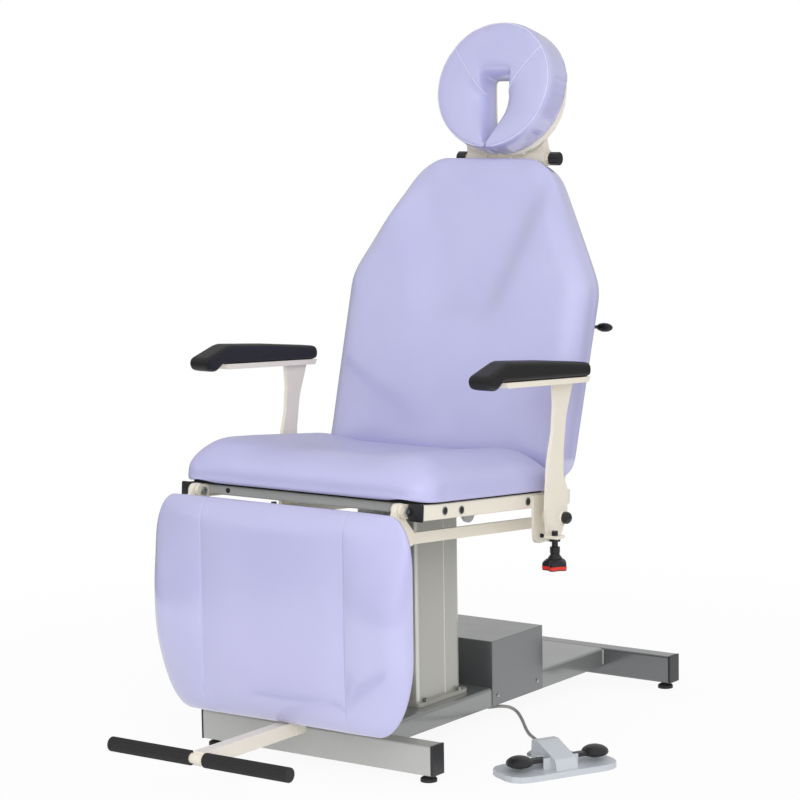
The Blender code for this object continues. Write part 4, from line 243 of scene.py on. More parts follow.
def roughened(shader, source, span, ends):
    """Runs a shader's roughness from one end to the other while a node's value runs over a span."""
    feed(shader, "Roughness", ramp(shader.id_data, source, 0, span, ends))


def bumped(shader, height, strength, depth, invert=False):
    """Gives a shader a fine relief from a node's value."""
    sockets = {"Strength": strength, "Distance": depth, "Height": (height, 0)}
    feed(shader, "Normal", add(shader.id_data, "Bump", sockets, invert=invert))


# Extruded PVC jacket: a dull even skin with faint drag marks
cord_jacket, tree, shader = material("extruded_pvc_jacket", "#9A9B98", 0.5)
shader.inputs["IOR"].default_value = 1.53
marks = texture(tree, "Noise", 1 / JACKET_GRAIN, {"Detail": 2.0})
tinted(shader, marks, srgb("#8F908D"), srgb("#A5A6A3"))
bumped(shader, marks, 0.2, 0.0002)

route = [CORD_EXIT, *(Vector(point) for point in CORD_ROUTE)]
ends = [2 * route[0] - route[1], *route, 2 * route[-1] - route[-2]]
line = []
for a, b, c, d in zip(ends, ends[1:], ends[2:], ends[3:]):
    for step in range(CORD_STEPS):
        t = step / CORD_STEPS
        bend = (2 * a - 5 * b + 4 * c - d) * t * t + (3 * (b - c) + d - a) * t * t * t
        line.append(b + ((c - a) * t + bend) / 2)
line.append(route[-1])
cord_curve = bpy.data.curves.new("pedal_lead", "CURVE")
cord_curve.dimensions = "3D"
cord_curve.bevel_depth = CORD_DIAMETER / 2
cord_curve.bevel_resolution = 4
cord_curve.use_fill_caps = True
spline = cord_curve.splines.new("POLY")
spline.points.add(len(line) - 1)
for spot, point in zip(spline.points, line):
    spot.co = (*(point + chair), 1)
spline.use_smooth = True
cord_curve.materials.append(cord_jacket)
lead = put("pedal_lead", cord_curve)
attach(lead, "base")
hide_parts("pedal_cord")

# Base bars: 60 x 40 mm steel tube, sprayed with a grey metallic powder coat; the rear one is drawn in the
# cover's slate grey, a painted shade for its darker front face.
# They have moulded black end caps and black rubber levelling feet.

HANDS = {"left": 1, "right": -1}
PEEL = 0.0022
FLAKE = 0.0009
CLOUD_SCALE = 9.0
# Most of a noise's values lie in this span
NOISE_SPAN = (0.3, 0.7)
LACQUER_IOR = 1.8
COAT_ROUGHNESS = 0.14


def lacquered(shader, weight, roughness):
    """Puts a clear layer over a shader."""
    shader.inputs["Coat Weight"].default_value = weight
    shader.inputs["Coat Roughness"].default_value = roughness
    shader.inputs["Coat IOR"].default_value = LACQUER_IOR


def powder_coat(name, colour, flake, roughness, metallic=0.0, gloss=0.0):
    """Sprayed and baked powder coat: an even satin skin with orange peel 2 mm apart, and metal flakes."""
    made, tree, shader = material(name, colour, roughness, metallic)
    lacquered(shader, gloss, COAT_ROUGHNESS)
    # Flakes are some 50 microns, drawn nearly 1 mm wide to show
    specks = texture(tree, "Voronoi", 1 / FLAKE)
    spread = add(tree, "SeparateColor", {0: (specks, "Color")})
    cloud = texture(tree, "Noise", CLOUD_SCALE, {"Detail": 4.0})
    share = add(tree, "Math", {0: (spread, 0), 1: 0.45}, operation="MULTIPLY")
    share = add(tree, "Math", {0: (cloud, 0), 1: 0.55, 2: (share, 0)}, operation="MULTIPLY_ADD")
    tinted(shader, share, srgb(flake[0]), srgb(flake[1]))
    roughened(shader, cloud, NOISE_SPAN, (roughness - 0.05, roughness + 0.06))
    bumped(shader, texture(tree, "Noise", 1 / PEEL, {"Detail": 1.0}), 0.25, 0.0002)
    return made


def grained(name, colours, roughness, grain, depth, ior=1.5):
    """Moulded plastic or rubber: a spark-eroded mould leaves an even fine grain that breaks up the gloss."""
    made, tree, shader = material(name, colours[0], roughness)
    shader.inputs["IOR"].default_value = ior
    sparks = texture(tree, "Noise", 1 / grain, {"Detail": 3.0})
    tinted(shader, sparks, srgb(colours[0]), srgb(colours[1]))
    roughened(shader, sparks, NOISE_SPAN, (roughness - 0.06, roughness + 0.08))
    bumped(shader, sparks, 0.35, depth)
    return made


def dress(finish, *names):
    """Gives CAD nodes a finish."""
    for name in names:
        mesh = frame["nodes"][name].data
        mesh.materials.clear()
        mesh.materials.append(finish)


grey_coat = powder_coat("metallic_grey_powder_coat", "#B2B3B0", ("#B2B3B0", "#CACBC8"), 0.34, 0.25, 0.3)
# ABS caps: black with a fine even grain, drawn at about 1 mm
black_abs = grained("moulded_black_abs", ("#1A1A1C", "#242427"), 0.36, 0.0011, 0.0002, 1.54)
# Rubber is duller and coarser than the plastic
black_rubber = grained("moulded_black_rubber", ("#1E1E1F", "#2A2A2A"), 0.66, 0.0016, 0.0003, 1.52)
slate_coat = powder_coat("slate_grey_powder_coat", "#5C5F60", ("#4E5153", "#5D6062"), 0.36, 0.25, 1.0)
dress(grey_coat, "front_base_bar")
# The rear bar's slate coat is painted shade on a bar in the same paint as the front one
dress(slate_coat, "rear_base_bar")
for end in ("front", "rear"):
    for hand in HANDS:
        dress(black_abs, f"end_cap_{end}_{hand}")
        dress(black_rubber, f"levelling_foot_{end}_{hand}")

# Spine: folded 3 mm steel sheet between the bars, in a darker grey coat, welded to the bars on both sides.
# The weld beads are in the bars' lighter coat and catch the light as a bright ripple.

BEAD_RADIUS = 0.0022
BEAD_RIPPLE = 0.0030
BEAD_STEPS = 4
BEAD_SIDES = 10
BEAD_SWELL = (0.86, 0.14)
BEAD_END = 0.45
BEAD_MARGIN = 0.003


def skin(shape, rings, closed=True):
    """Faces through rings of points, with as many points in each. When closed, a face covers each end."""
    loops = [[shape.verts.new(point) for point in ring] for ring in rings]
    for near, far in zip(loops, loops[1:]):
        for i in range(len(near)):
            shape.faces.new((near[i - 1], near[i], far[i], far[i - 1]))
    if closed:
        shape.faces.new(loops[0])
        shape.faces.new(loops[-1])
    return loops


def to_mesh(name, shape):
    """A mesh from a bmesh, with its faces turned outwards."""
    bmesh.ops.recalc_face_normals(shape, faces=shape.faces)
    mesh = bpy.data.meshes.new(name)
    shape.to_mesh(mesh)
    shape.free()
    return mesh


def fit(name, shape, finish, body, sharp=35):
    """Adds a piece to the chair from a bmesh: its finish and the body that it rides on."""
    mesh = to_mesh(name, shape)
    mesh.shade_smooth()
    mesh.set_sharp_from_angle(angle=math.radians(sharp))
    mesh.materials.append(finish)
    made = put(name, mesh)
    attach(made, body)


def bead(shape, start, end):
    """A rippled weld bead between two points."""
    along = end - start
    count = max(BEAD_STEPS, int(along.length / BEAD_RIPPLE * BEAD_STEPS))
    turn = along.to_track_quat("Z", "Y").to_matrix()
    turns = [2 * math.pi * i / BEAD_SIDES for i in range(BEAD_SIDES)]
    rings = []
    for i in range(count + 1):
        swell = BEAD_RADIUS * (BEAD_SWELL[0] + BEAD_SWELL[1] * math.cos(2 * math.pi * i / BEAD_STEPS))
        swell *= BEAD_END if i in (0, count) else 1.0
        spot = start + along * i / count
        rings.append([spot + turn @ Vector((math.cos(t), math.sin(t), 0)) * swell for t in turns])
    skin(shape, rings)


dark_coat = powder_coat("dark_grey_powder_coat", "#7A7D7B", ("#747775", "#868987"), 0.36, 0.25, 1.0)
dress(dark_coat, "base_spine")
spine_low, spine_high = (Vector(corner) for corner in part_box("base_spine"))
beads = bmesh.new()
for y in (spine_low.y, spine_high.y):
    for x in (spine_low.x, spine_high.x):
        foot = Vector((x, y, spine_low.z + BEAD_MARGIN))
        bead(beads, foot, Vector((x, y, spine_high.z - BEAD_MARGIN)))
fit("spine_weld_beads", beads, grey_coat, "base")

# Lift column: a folded steel box with its foot flange bolted through the spine, and a plain drawn inner
# box that slides up out of it on a spindle. Four zinc-plated socket screws hold the flange. A pale strip
# along the groove on each side is a painted highlight of the groove's edge.

FLANGE_TOP = 0.0828
FLANGE_RIM = 0.012
FOLD_INSIDE, FOLD_MIDDLE, FOLD_START = 0.009, 0.004, FLANGE_TOP + 0.0002
GROOVE_SETBACK = FLANGE_RIM + 0.096
STRIP_HALF_WIDTH, STRIP_HEIGHT, STRIP_SINK = 0.0021, 0.0023, 0.0014
STRIP_ENDS = (0.0004, 0.0012)
STRIP_SIDES = 8
FLANGE_SCREW_INSET = (0.006, 0.030)
# Screws: the head's diameter and height, and the width across a socket's flats
FLANGE_SCREW = (0.0100, 0.0060, 0.0050)
SCREW_SIDES = 24
ZINC_GRAIN = 0.004
SCRATCH_SCALE = (1000.0, 1000.0, 12.0)


def circle(place, radius, height, sides=SCREW_SIDES):
    """A ring of points about an axis. A radius that changes with the turn is a function of it."""
    turns = [2 * math.pi * i / sides for i in range(sides)]
    radii = [radius(t) if callable(radius) else radius for t in turns]
    return [place @ Vector((r * math.cos(t), r * math.sin(t), height)) for r, t in zip(radii, turns)]


def turned(shape, profile, place):
    """A turned shape from a profile of radii and heights, set down by a matrix."""
    skin(shape, [circle(place, radius, height) for radius, height in profile])


def aim(point, direction):
    """A matrix that stands a turned shape on a point, with its axis along a direction."""
    return Matrix.Translation(point) @ Vector(direction).to_track_quat("Z", "Y").to_matrix().to_4x4()


def socket_screw(shape, place, head, height, flats):
    """A cylinder-head screw with a hexagon socket as wide across its flats as flats."""

    def hexagon(turn):
        return flats / 2 / math.cos((turn % (math.pi / 3)) - math.pi / 6)

    radius = head / 2
    rim = ((radius, 0), (radius, height * 0.85), (radius * 0.93, height), (flats * 0.60, height))
    turned(shape, (*rim, (hexagon, height), (hexagon, height * 0.35)), place)


# Zinc plate: a bright grey metal with a soft blurred shine
zinc, tree, shader = material("zinc_plated_steel", "#B4B8BA", 0.34, 1.0)
roughened(shader, texture(tree, "Noise", 1 / ZINC_GRAIN, {"Detail": 3.0}), NOISE_SPAN, (0.28, 0.42))

# Ground steel: fine scratches along the sliding direction, 0.3 mm apart, drawn at 1 mm
ground_steel, tree, shader = material("ground_bright_steel", "#C2C4C5", 0.27, 1.0)
place = add(tree, "TexCoord")
stretch = add(tree, "Mapping", {"Vector": (place, "Object"), "Scale": SCRATCH_SCALE})
scratches = add(tree, "TexNoise", {"Vector": (stretch, 0), "Scale": 1.0, "Detail": 2.0})
roughened(shader, scratches, NOISE_SPAN, (0.2, 0.36))

column_coat = powder_coat("silver_grey_powder_coat", "#B4B3AC", ("#AAA9A2", "#BDBCB5"), 0.36, 0.25, 0.5)
# The coat is painted lighter along the folds of the box: a painted highlight where the rounded folds catch
# the light
column_low, column_high = (Vector(corner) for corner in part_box("column_outer"))
middle = (column_low + column_high) / 2
half = (column_high - column_low) / 2 - Vector((FLANGE_RIM, FLANGE_RIM, 0))
tree, shader = column_coat.node_tree, column_coat.node_tree.nodes["Principled BSDF"]
place = add(tree, "TexCoord")
level = add(tree, "SeparateXYZ", {0: (place, "Object")})
fold_highlight = add(tree, "Math", {0: (level, "Z"), 1: FOLD_START}, operation="GREATER_THAN")
spot = add(tree, "VectorMath", {0: (place, "Object"), 1: middle}, operation="SUBTRACT")
spot = add(tree, "VectorMath", {0: (spot, 0)}, operation="ABSOLUTE")
spot = add(tree, "SeparateXYZ", {0: (spot, 0)})
for axis, reach in (("X", half.x), ("Y", half.y)):
    span = (reach - FOLD_INSIDE, reach - FOLD_MIDDLE)
    near = ramp(tree, spot, axis, span, (0.0, 1.0), interpolation_type="SMOOTHSTEP")
    fold_highlight = add(tree, "Math", {0: (fold_highlight, 0), 1: (near, 0)}, operation="MULTIPLY")
coat = shader.inputs["Base Color"].links[0].from_node
# The painted highlight along the folds is mixed into the coat's colour here
tinted(shader, fold_highlight, (coat, 2), srgb("#EFEFEA"))
dress(column_coat, "column_outer")
dress(ground_steel, "column_inner", "lift_spindle")
dress(zinc, "lift_drive")
# Painted highlight in the grooves: a pale grey strip, smooth, with faint drag marks
groove_highlight_finish = grained("extruded_pale_pvc", ("#DCDCD8", "#E6E6E2"), 0.35, 0.002, 0.0001, 1.53)
groove_highlights = bmesh.new()
for side in HANDS.values():
    rings = []
    for z in (FLANGE_TOP + STRIP_ENDS[0], column_high.z - STRIP_ENDS[1]):
        ring = []
        for i in range(STRIP_SIDES + 1):
            t = math.pi * i / STRIP_SIDES
            out = half.x - STRIP_SINK + STRIP_HEIGHT * math.sin(t)
            along = column_low.y + GROOVE_SETBACK + STRIP_HALF_WIDTH * math.cos(t)
            ring.append(Vector((middle.x + side * out, along, z)))
        rings.append(ring)
    skin(groove_highlights, rings)
fit("column_strips", groove_highlights, groove_highlight_finish, "base")
flange_screws = bmesh.new()
for x in (column_low.x + FLANGE_SCREW_INSET[0], column_high.x - FLANGE_SCREW_INSET[0]):
    for y in (column_low.y + FLANGE_SCREW_INSET[1], column_high.y - FLANGE_SCREW_INSET[1]):
        socket_screw(flange_screws, aim((x, y, FLANGE_TOP), (0, 0, 1)), *FLANGE_SCREW)
fit("flange_screws", flange_screws, zinc, "base")

# Cover over the control unit: folded steel in the slate grey coat, held by two zinc-plated pan-head screws on
# each side. The control unit and the gland below it are plastic.

COVER_SCREW_PLACES = ((0.4811, 0.0553), (0.6331, 0.0562))
COVER_SCREW = (0.0085, 0.0028)


def cross_screw(shape, place, head, height):
    """A pan-head screw with a cross recess."""

    def cross(turn):
        return radius * (0.50 if abs(math.sin(2 * turn)) < 0.3 else 0.16)

    radius = head / 2
    dome = [(r * radius, z * height) for r, z in ((1.0, 0), (0.98, 0.35), (0.85, 0.75), (0.62, 0.97))]
    turned(shape, (*dome, (cross, height), (cross, 0.35 * height)), place)


dress(slate_coat, "control_cover")
dress(black_abs, "control_unit", "cable_gland")
cover_low, cover_high = (Vector(corner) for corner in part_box("control_cover"))
cover_screws = bmesh.new()
for y, z in COVER_SCREW_PLACES:
    for x, way in ((cover_high.x, 1), (cover_low.x, -1)):
        cross_screw(cover_screws, aim((x, chair.y + y, z), (way, 0, 0)), *COVER_SCREW)
fit("cover_screws", cover_screws, zinc, "base")

# Foot control: a grey moulded ABS housing with a black domed pedal on each side, one to raise the seat
# and one to lower it.

# Grey ABS: the same fine grain as the black
grey_abs = grained("moulded_grey_abs", ("#BFC4CB", "#CBD0D6"), 0.36, 0.0012, 0.0002, 1.54)
dress(grey_abs, "pedal_housing")
dress(black_abs, "pedal_raise", "pedal_lower")

# Seat frame: cream powder-coated steel rails joined by grey cross tubes on the lifted bracket. Black caps
# close the rails' front ends, and plugged bolts hold the rails to the tubes.

SEAT_TILT = math.radians(4.5)
HINGE_IN_SEAT = Vector((0, -0.010, 0.017))
RAIL_WIDTH, RAIL_HEIGHT = 0.030, 0.030
CAP_THICKNESS, CAP_LIP, CAP_CORNER, CAP_STEPS = 0.004, 0.0018, 0.003, 4
# How far along the rail, and how far inside its outline
CAP_PROFILE = ((-0.0002, -CAP_LIP), (0.0010 - CAP_THICKNESS, -CAP_LIP), (-CAP_THICKNESS, 0.0012 - CAP_LIP))
RAIL_PLUG_PLACES = ((0.072, 0.0153), (0.1276, 0.0134), (0.3621, 0.0146))
RAIL_PLUG = ((0.0068, 0), (0.0068, 0.0014), (0.0060, 0.0021), (0.0030, 0.0024))
RAIL_WASHER = ((0.0060, 0), (0.0088, 0), (0.0088, 0.0008), (0.0082, 0.0012), (0.0060, 0.0012))
TUBE_PLUG_PLACE = Vector((-0.187, 0.012, 0.020))
TUBE_PLUG = ((0.0050, 0), (0.0050, 0.0012), (0.0043, 0.0018), (0.0020, 0.0020))
LUG_BACK = 0.0215

joints = {joint["name"]: joint for joint in frame["joints"]}
leg_hinge = Vector(joints["legrest_lift"]["pos_m"])
seat = Matrix.Translation(leg_hinge) @ Matrix.Rotation(-SEAT_TILT, 4, "X")
seat = seat @ Matrix.Translation(-HINGE_IN_SEAT)

cream_coat = powder_coat("cream_powder_coat", "#EBE4D5", ("#E6DFCF", "#EFE9DC"), 0.34)
dress(grey_coat, "seat_bracket")
dress(cream_coat, "seat_rail_left", "seat_rail_right")

rail_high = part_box("seat_rail_left")[1][0] - chair.x
inside = rail_high - RAIL_WIDTH
rail_caps, rail_plugs, rail_washers = bmesh.new(), bmesh.new(), bmesh.new()
for side in HANDS.values():
    rings = []
    for along, inset in CAP_PROFILE:
        ring = []
        for quarter, (outer, upper) in enumerate(((1, 0), (0, 0), (0, 1), (1, 1))):
            x = rail_high - inset - CAP_CORNER if outer else inside + inset + CAP_CORNER
            z = RAIL_HEIGHT - inset - CAP_CORNER if upper else inset + CAP_CORNER
            for step in range(CAP_STEPS + 1):
                t = math.radians(-90 * quarter - 90 * step / CAP_STEPS)
                point = (side * (x + CAP_CORNER * math.cos(t)), along, z + CAP_CORNER * math.sin(t))
                ring.append(seat @ Vector(point))
        rings.append(ring)
    skin(rail_caps, rings)
    for along, rise in RAIL_PLUG_PLACES:
        out = aim(seat @ Vector((side * rail_high, along, rise)), (side, 0, 0))
        turned(rail_washers, RAIL_WASHER, out)
        turned(rail_plugs, RAIL_PLUG, out)
forward_face = seat.to_3x3() @ Vector((0, -1, 0))
turned(rail_plugs, TUBE_PLUG, aim(seat @ TUBE_PLUG_PLACE, forward_face))
fit("rail_end_caps", rail_caps, black_abs, "lift")
fit("rail_plugs", rail_plugs, black_abs, "lift")
fit("rail_washers", rail_washers, zinc, "lift")

# The front tube is grey, and its hinge lugs, which stand before it, are cream
tube_coat = powder_coat("grey_and_cream_powder_coat", "#B2B3B0", ("#B0B1AE", "#C8C9C6"), 0.34, 0.1)
tree, shader = tube_coat.node_tree, tube_coat.node_tree.nodes["Principled BSDF"]
split = add(tree, "SeparateXYZ", {0: (add(tree, "TexCoord"), "Object")})
before = add(tree, "Math", {0: (split, "Y"), 1: leg_hinge.y + LUG_BACK}, operation="LESS_THAN")
coat = shader.inputs["Base Color"].links[0].from_node
tinted(shader, before, (coat, 2), srgb("#EBE4D5"))
dress(tube_coat, "seat_front_tube")

# Hinge screws: a socket screw closes each end of the legrest's two hinge pins, on the lugs of the front
# tube. They are zinc-plated like the other screws.

HINGE_SCREW = (0.0165, 0.0042, 0.0080)

tube_points = [vertex.co for vertex in frame["nodes"]["seat_front_tube"].data.vertices]
lugs = [abs(point.x - chair.x) for point in tube_points if point.y < leg_hinge.y]
hinge_screws = bmesh.new()
for side in HANDS.values():
    for reach, way in ((max(lugs), side), (min(lugs), -side)):
        spot = Vector((chair.x + side * reach, leg_hinge.y, leg_hinge.z))
        socket_screw(hinge_screws, aim(spot, (way, 0, 0)), *HINGE_SCREW)
fit("hinge_screws", hinge_screws, zinc, "lift")

# Cushions: foam on a black-lined board under lavender PVC leatherette, drawn tight round the board's edge.
# Each cover starts a little small, and a cloth run blows it up.

PEBBLE = 0.002
PEBBLE_FINE = 0.0009
FIBRE = 0.0012
HELD_BELOW = 0.004
COVER_PRESSURE = 4.0
CLOTH_FRAMES = 14
PAD_COLUMNS = 18
PAD_ROWS = 36
# How much of the height is left, and how far inside the rim
PAD_WALL = ((0.8, 0.0002), (0.6, 0.0008), (0.4, 0.0019), (0.2, 0.0035), (0.05, 0.0054), (0.0, 0.0068))
PAD_HEM = ((0.0, 0.016), (0.0, 0.034))
PIPING = 0.0012
PIPING_LIFT = 0.0005
PIPING_TURNS = (0.0, 1.26, 2.51, 3.77, 5.03)
PIPING_SHARP = 80
FRONT = Matrix(((1, 0, 0, 0), (0, 0, -1, 0), (0, 1, 0, 0), (0, 0, 0, 1)))

# Embossed leatherette: a clear lacquer over a pebble grain 1 mm apart, drawn at 2 mm, tone shifting a little
leatherette, tree, shader = material("pvc_leatherette", "#BBBAE3", 0.4)
shader.inputs["IOR"].default_value = 1.52
lacquered(shader, 1.0, 0.15)
pebble = texture(tree, "Voronoi", 1 / PEBBLE, feature="SMOOTH_F1")
fine = texture(tree, "Noise", 1 / PEBBLE_FINE, {"Detail": 2.0})
tinted(shader, texture(tree, "Noise", 7.0, {"Detail": 3.0}), srgb("#B5B4E0"), srgb("#C1C0E7"))
roughened(shader, pebble, (0.1, 0.8), (0.38, 0.5))
height = add(tree, "Math", {0: (fine, 0), 1: 0.35, 2: (pebble, 0)}, operation="MULTIPLY_ADD")
bumped(shader, height, 0.14, 0.0003, invert=True)

# Where it is sat on, the lacquer is worn duller
sat_on = leatherette.copy()
sat_on.name = "worn_leatherette"
lacquered(sat_on.node_tree.nodes["Principled BSDF"], 0.3, 0.3)

# Leatherette along the edge of a seam is painted paler: a painted highlight where the seam's edge catches the
# light
seam_highlight_finish = leatherette.copy()
seam_highlight_finish.name = "stretched_leatherette"
tint = seam_highlight_finish.node_tree.nodes["Principled BSDF"].inputs["Base Color"].links[0].from_node
tint.inputs[6].default_value = srgb("#DAD9F4")
tint.inputs[7].default_value = srgb("#E4E3F8")

# Board lining: matt black needle felt with short random fibres
lining, tree, shader = material("black_felt_lining", "#1C1C1E", 0.85)
fibres = texture(tree, "Noise", 1 / FIBRE, {"Detail": 5.0, "Distortion": 1.2})
tinted(shader, fibres, srgb("#151516"), srgb("#29292B"))
bumped(shader, fibres, 0.4, 0.0004)


def ease(low, high, value):
    """Runs smoothly from 0 at low to 1 at high."""
    t = min(max((value - low) / (high - low), 0), 1)
    return t * t * (3 - 2 * t)


def edge_fall(room, radius):
    """A quarter round: 0 at an edge, and 1 from a radius away from it."""
    return math.sqrt(1 - (1 - min(max(room / radius, 0), 1)) ** 2)


def round_end(room, run, draw):
    """How far an outline is drawn in near an end, by a quarter round as long as run and as deep as draw."""
    return draw * (1 - edge_fall(room, run))


def drop_wall(shape, rim, steps):
    """Carries a cover down from its rim. A step is the share of the height that is left, and an inset."""
    spots = [point.co.copy() for point in rim]
    loop = rim
    for share, inset in steps:
        ring = []
        for i, spot in enumerate(spots):
            run = spots[(i + 1) % len(spots)] - spots[i - 1]
            out = Vector((run.y, -run.x, 0)).normalized()
            ring.append(shape.verts.new(Vector((spot.x, spot.y, spot.z * share)) - out * inset))
        for i in range(len(ring)):
            shape.faces.new((loop[i - 1], ring[i - 1], ring[i], loop[i]))
        loop = ring
    return loop


def pad_cover(name, bottom, top, half_width, surface, edge, radius, seam=0.0, wall=PAD_WALL):
    """The cover of a cushion in its own frame: x across, y along and z out of its board."""
    inner = [math.sin(math.pi / 2 * i / PAD_COLUMNS) for i in range(PAD_COLUMNS + 1)]
    outer = [(1 - math.cos(math.pi * i / PAD_COLUMNS)) / 2 for i in range(1, PAD_COLUMNS + 1)]
    shape, grid = bmesh.new(), []
    for i in range(PAD_ROWS + 1):
        y = bottom + (top - bottom) * (1 - math.cos(math.pi * i / PAD_ROWS)) / 2
        width = half_width(y)
        half = [width * f for f in inner]
        if seam:
            half = [seam * f for f in inner[::2]] + [seam + (width - seam) * f for f in outer]
        row = []
        for x in [-x for x in reversed(half[1:])] + half:
            fall = edge_fall(width - abs(x), radius) * edge_fall(min(y - bottom, top - y), radius)
            row.append(shape.verts.new((x, y, edge + (surface(x, y) - edge) * fall)))
        grid.append(row)
    for near, far in zip(grid, grid[1:]):
        for i in range(len(near) - 1):
            shape.faces.new((near[i], near[i + 1], far[i + 1], far[i]))
    rim = grid[0] + [row[-1] for row in grid[1:-1]] + grid[-1][::-1] + [row[0] for row in grid[-2:0:-1]]
    shape.faces.new(drop_wall(shape, rim, wall + PAD_HEM))
    return to_mesh(name, shape)


def blown_up(mesh, cap, held):
    """Lets a cover swell by a cloth run. Points that are held stay, and none moves further than the cap."""
    cover = put("cover", mesh)
    group = cover.vertex_groups.new(name="held")
    for vertex in mesh.vertices:
        hold = 1.0 if vertex.co.z < HELD_BELOW else held(vertex.co)
        if hold > 0:
            group.add([vertex.index], hold, "REPLACE")
    cloth = cover.modifiers.new("cloth", "CLOTH")
    cloth.settings.vertex_group_mass = "held"
    cloth.settings.use_pressure = True
    cloth.settings.uniform_pressure_force = COVER_PRESSURE
    cloth.settings.effector_weights.gravity = 0
    cloth.settings.quality = 5
    cloth.settings.tension_stiffness = 12
    cloth.settings.compression_stiffness = 12
    cloth.settings.bending_stiffness = 1.5
    cloth.point_cache.frame_start = 1
    cloth.point_cache.frame_end = CLOTH_FRAMES
    for step in range(1, CLOTH_FRAMES + 1):
        scene.frame_set(step)
    graph = bpy.context.evaluated_depsgraph_get()
    swollen = [v.co.copy() for v in cover.evaluated_get(graph).data.vertices]
    for vertex, moved in zip(mesh.vertices, swollen):
        shift = moved - vertex.co
        if shift.length > cap:
            shift *= cap / shift.length
        vertex.co += shift
    cover.modifiers.remove(cloth)
    cover.vertex_groups.clear()
    scene.frame_set(1)
    bpy.data.objects.remove(cover)


def divided(mesh):
    """A mesh with each face divided smoothly into four."""
    holder = put("divided", mesh)
    holder.modifiers.new("divide", "SUBSURF").levels = 1
    graph = bpy.context.evaluated_depsgraph_get()
    made = bpy.data.meshes.new_from_object(holder.evaluated_get(graph))
    bpy.data.objects.remove(holder)
    return made


def piped(name, mesh, paths, place, body):
    """The raised edges of seams: thin rolls on a cover, along paths that are given flat."""
    tree = BVHTree.FromPolygons([v.co for v in mesh.vertices], [p.vertices for p in mesh.polygons])
    shape = bmesh.new()
    for path in paths:
        line = [tree.ray_cast(Vector((x, y, 1)), Vector((0, 0, -1)))[0] for x, y in path]
        rings = []
        for i, spot in enumerate(line):
            run = line[min(i + 1, len(line) - 1)] - line[max(i - 1, 0)]
            turn = run.to_track_quat("Z", "Y").to_matrix()
            ring = [Vector((math.cos(t), math.sin(t), 0)) * PIPING for t in PIPING_TURNS]
            lifted = spot + Vector((0, 0, PIPING_LIFT))
            rings.append([place @ (lifted + turn @ point) for point in ring])
        skin(shape, rings)
    # The rolls wear the paler leatherette, a painted highlight along the seams
    fit(name, shape, seam_highlight_finish, body, PIPING_SHARP)


def upholster(mesh, node, place, body, cap, held=lambda co: 0.0, dip=None, paths=(), finish=leatherette):
    """A finished cushion in the place of its CAD form. A dip is a depth to draw the cover in at a point."""
    name = mesh.name
    blown_up(mesh, cap, held)
    mesh = divided(mesh)
    if dip:
        normals = [vertex.normal.copy() for vertex in mesh.vertices]
        for vertex, normal in zip(mesh.vertices, normals):
            vertex.co -= normal * dip(vertex.co)
    if paths:
        piped(name + "_piping", mesh, paths, place, body)
    mesh.transform(place)
    mesh.shade_smooth()
    mesh.materials.clear()
    mesh.materials.append(finish)
    made = put(name, mesh)
    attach(made, body)
    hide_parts(node)


# Seat cushion: one broad pad without seams, with wide rounded edges and sides that rise a little. It is
# duller than the other cushions.

SEAT_PAD_BASE = 0.0386
SEAT_FRONT, SEAT_BACK = -0.010, 0.452
SEAT_HALF_WIDTH = 0.303
SEAT_CORNER = 0.055
SEAT_THICKNESS, SEAT_EDGE, SEAT_ROUND = 0.064, 0.020, 0.092
SEAT_SIDE_RISE, SEAT_SIDE_RUN = 0.013, (0.35, 0.85)
SEAT_FRONT_RISE, SEAT_FRONT_RUN = 0.006, 0.100
# The cover's edge is rolled down past the top of the board
SEAT_WALL = ((0.75, 0.0), (0.5, 0.0002), (0.25, 0.0007), (0.0, 0.0015), (-0.15, 0.0026), (-0.24, 0.0050))
SEAT_WALL += ((-0.24, 0.0098), (-0.1, 0.0114), (0.0, 0.0118))
LEG_ARM_ACROSS, LEG_ARM_ROOM, LEG_ARM_DEPTH = 0.2465, 0.024, (0.03, 0.01)


def seat_half_width(y):
    return SEAT_HALF_WIDTH - round_end(min(y - SEAT_FRONT, 2 * (SEAT_BACK - y)), SEAT_CORNER, SEAT_CORNER)


def seat_surface(x, y):
    sides = SEAT_SIDE_RISE * ease(*SEAT_SIDE_RUN, abs(x) / SEAT_HALF_WIDTH)
    return SEAT_THICKNESS + sides + SEAT_FRONT_RISE * ease(SEAT_BACK, SEAT_FRONT + SEAT_FRONT_RUN, y)


dress(lining, "seat_board")
seat_place = seat @ Matrix.Translation((0, 0, SEAT_PAD_BASE))
seat_form = (seat_half_width, seat_surface, SEAT_EDGE, SEAT_ROUND)
seat_cover = pad_cover("seat_pad", SEAT_FRONT, SEAT_BACK, *seat_form, wall=SEAT_WALL)
# The legrest's arms come up past the front edge, where the roll is pressed flat
for vertex in seat_cover.vertices:
    spot = vertex.co
    if spot.z < 0:
        press = math.exp(-(((abs(spot.x) - LEG_ARM_ACROSS) / LEG_ARM_ROOM) ** 2))
        spot.z *= 1 - press * ease(*LEG_ARM_DEPTH, spot.y)
upholster(seat_cover, "seat_cushion", seat_place, "lift", cap=0.003, finish=sat_on)

# Legrest: cream arms on the front hinge carry a lined board and a pad sewn from three panels, with a
# rounder bolster at each side. The square sleeve under it takes the footrest's stem.

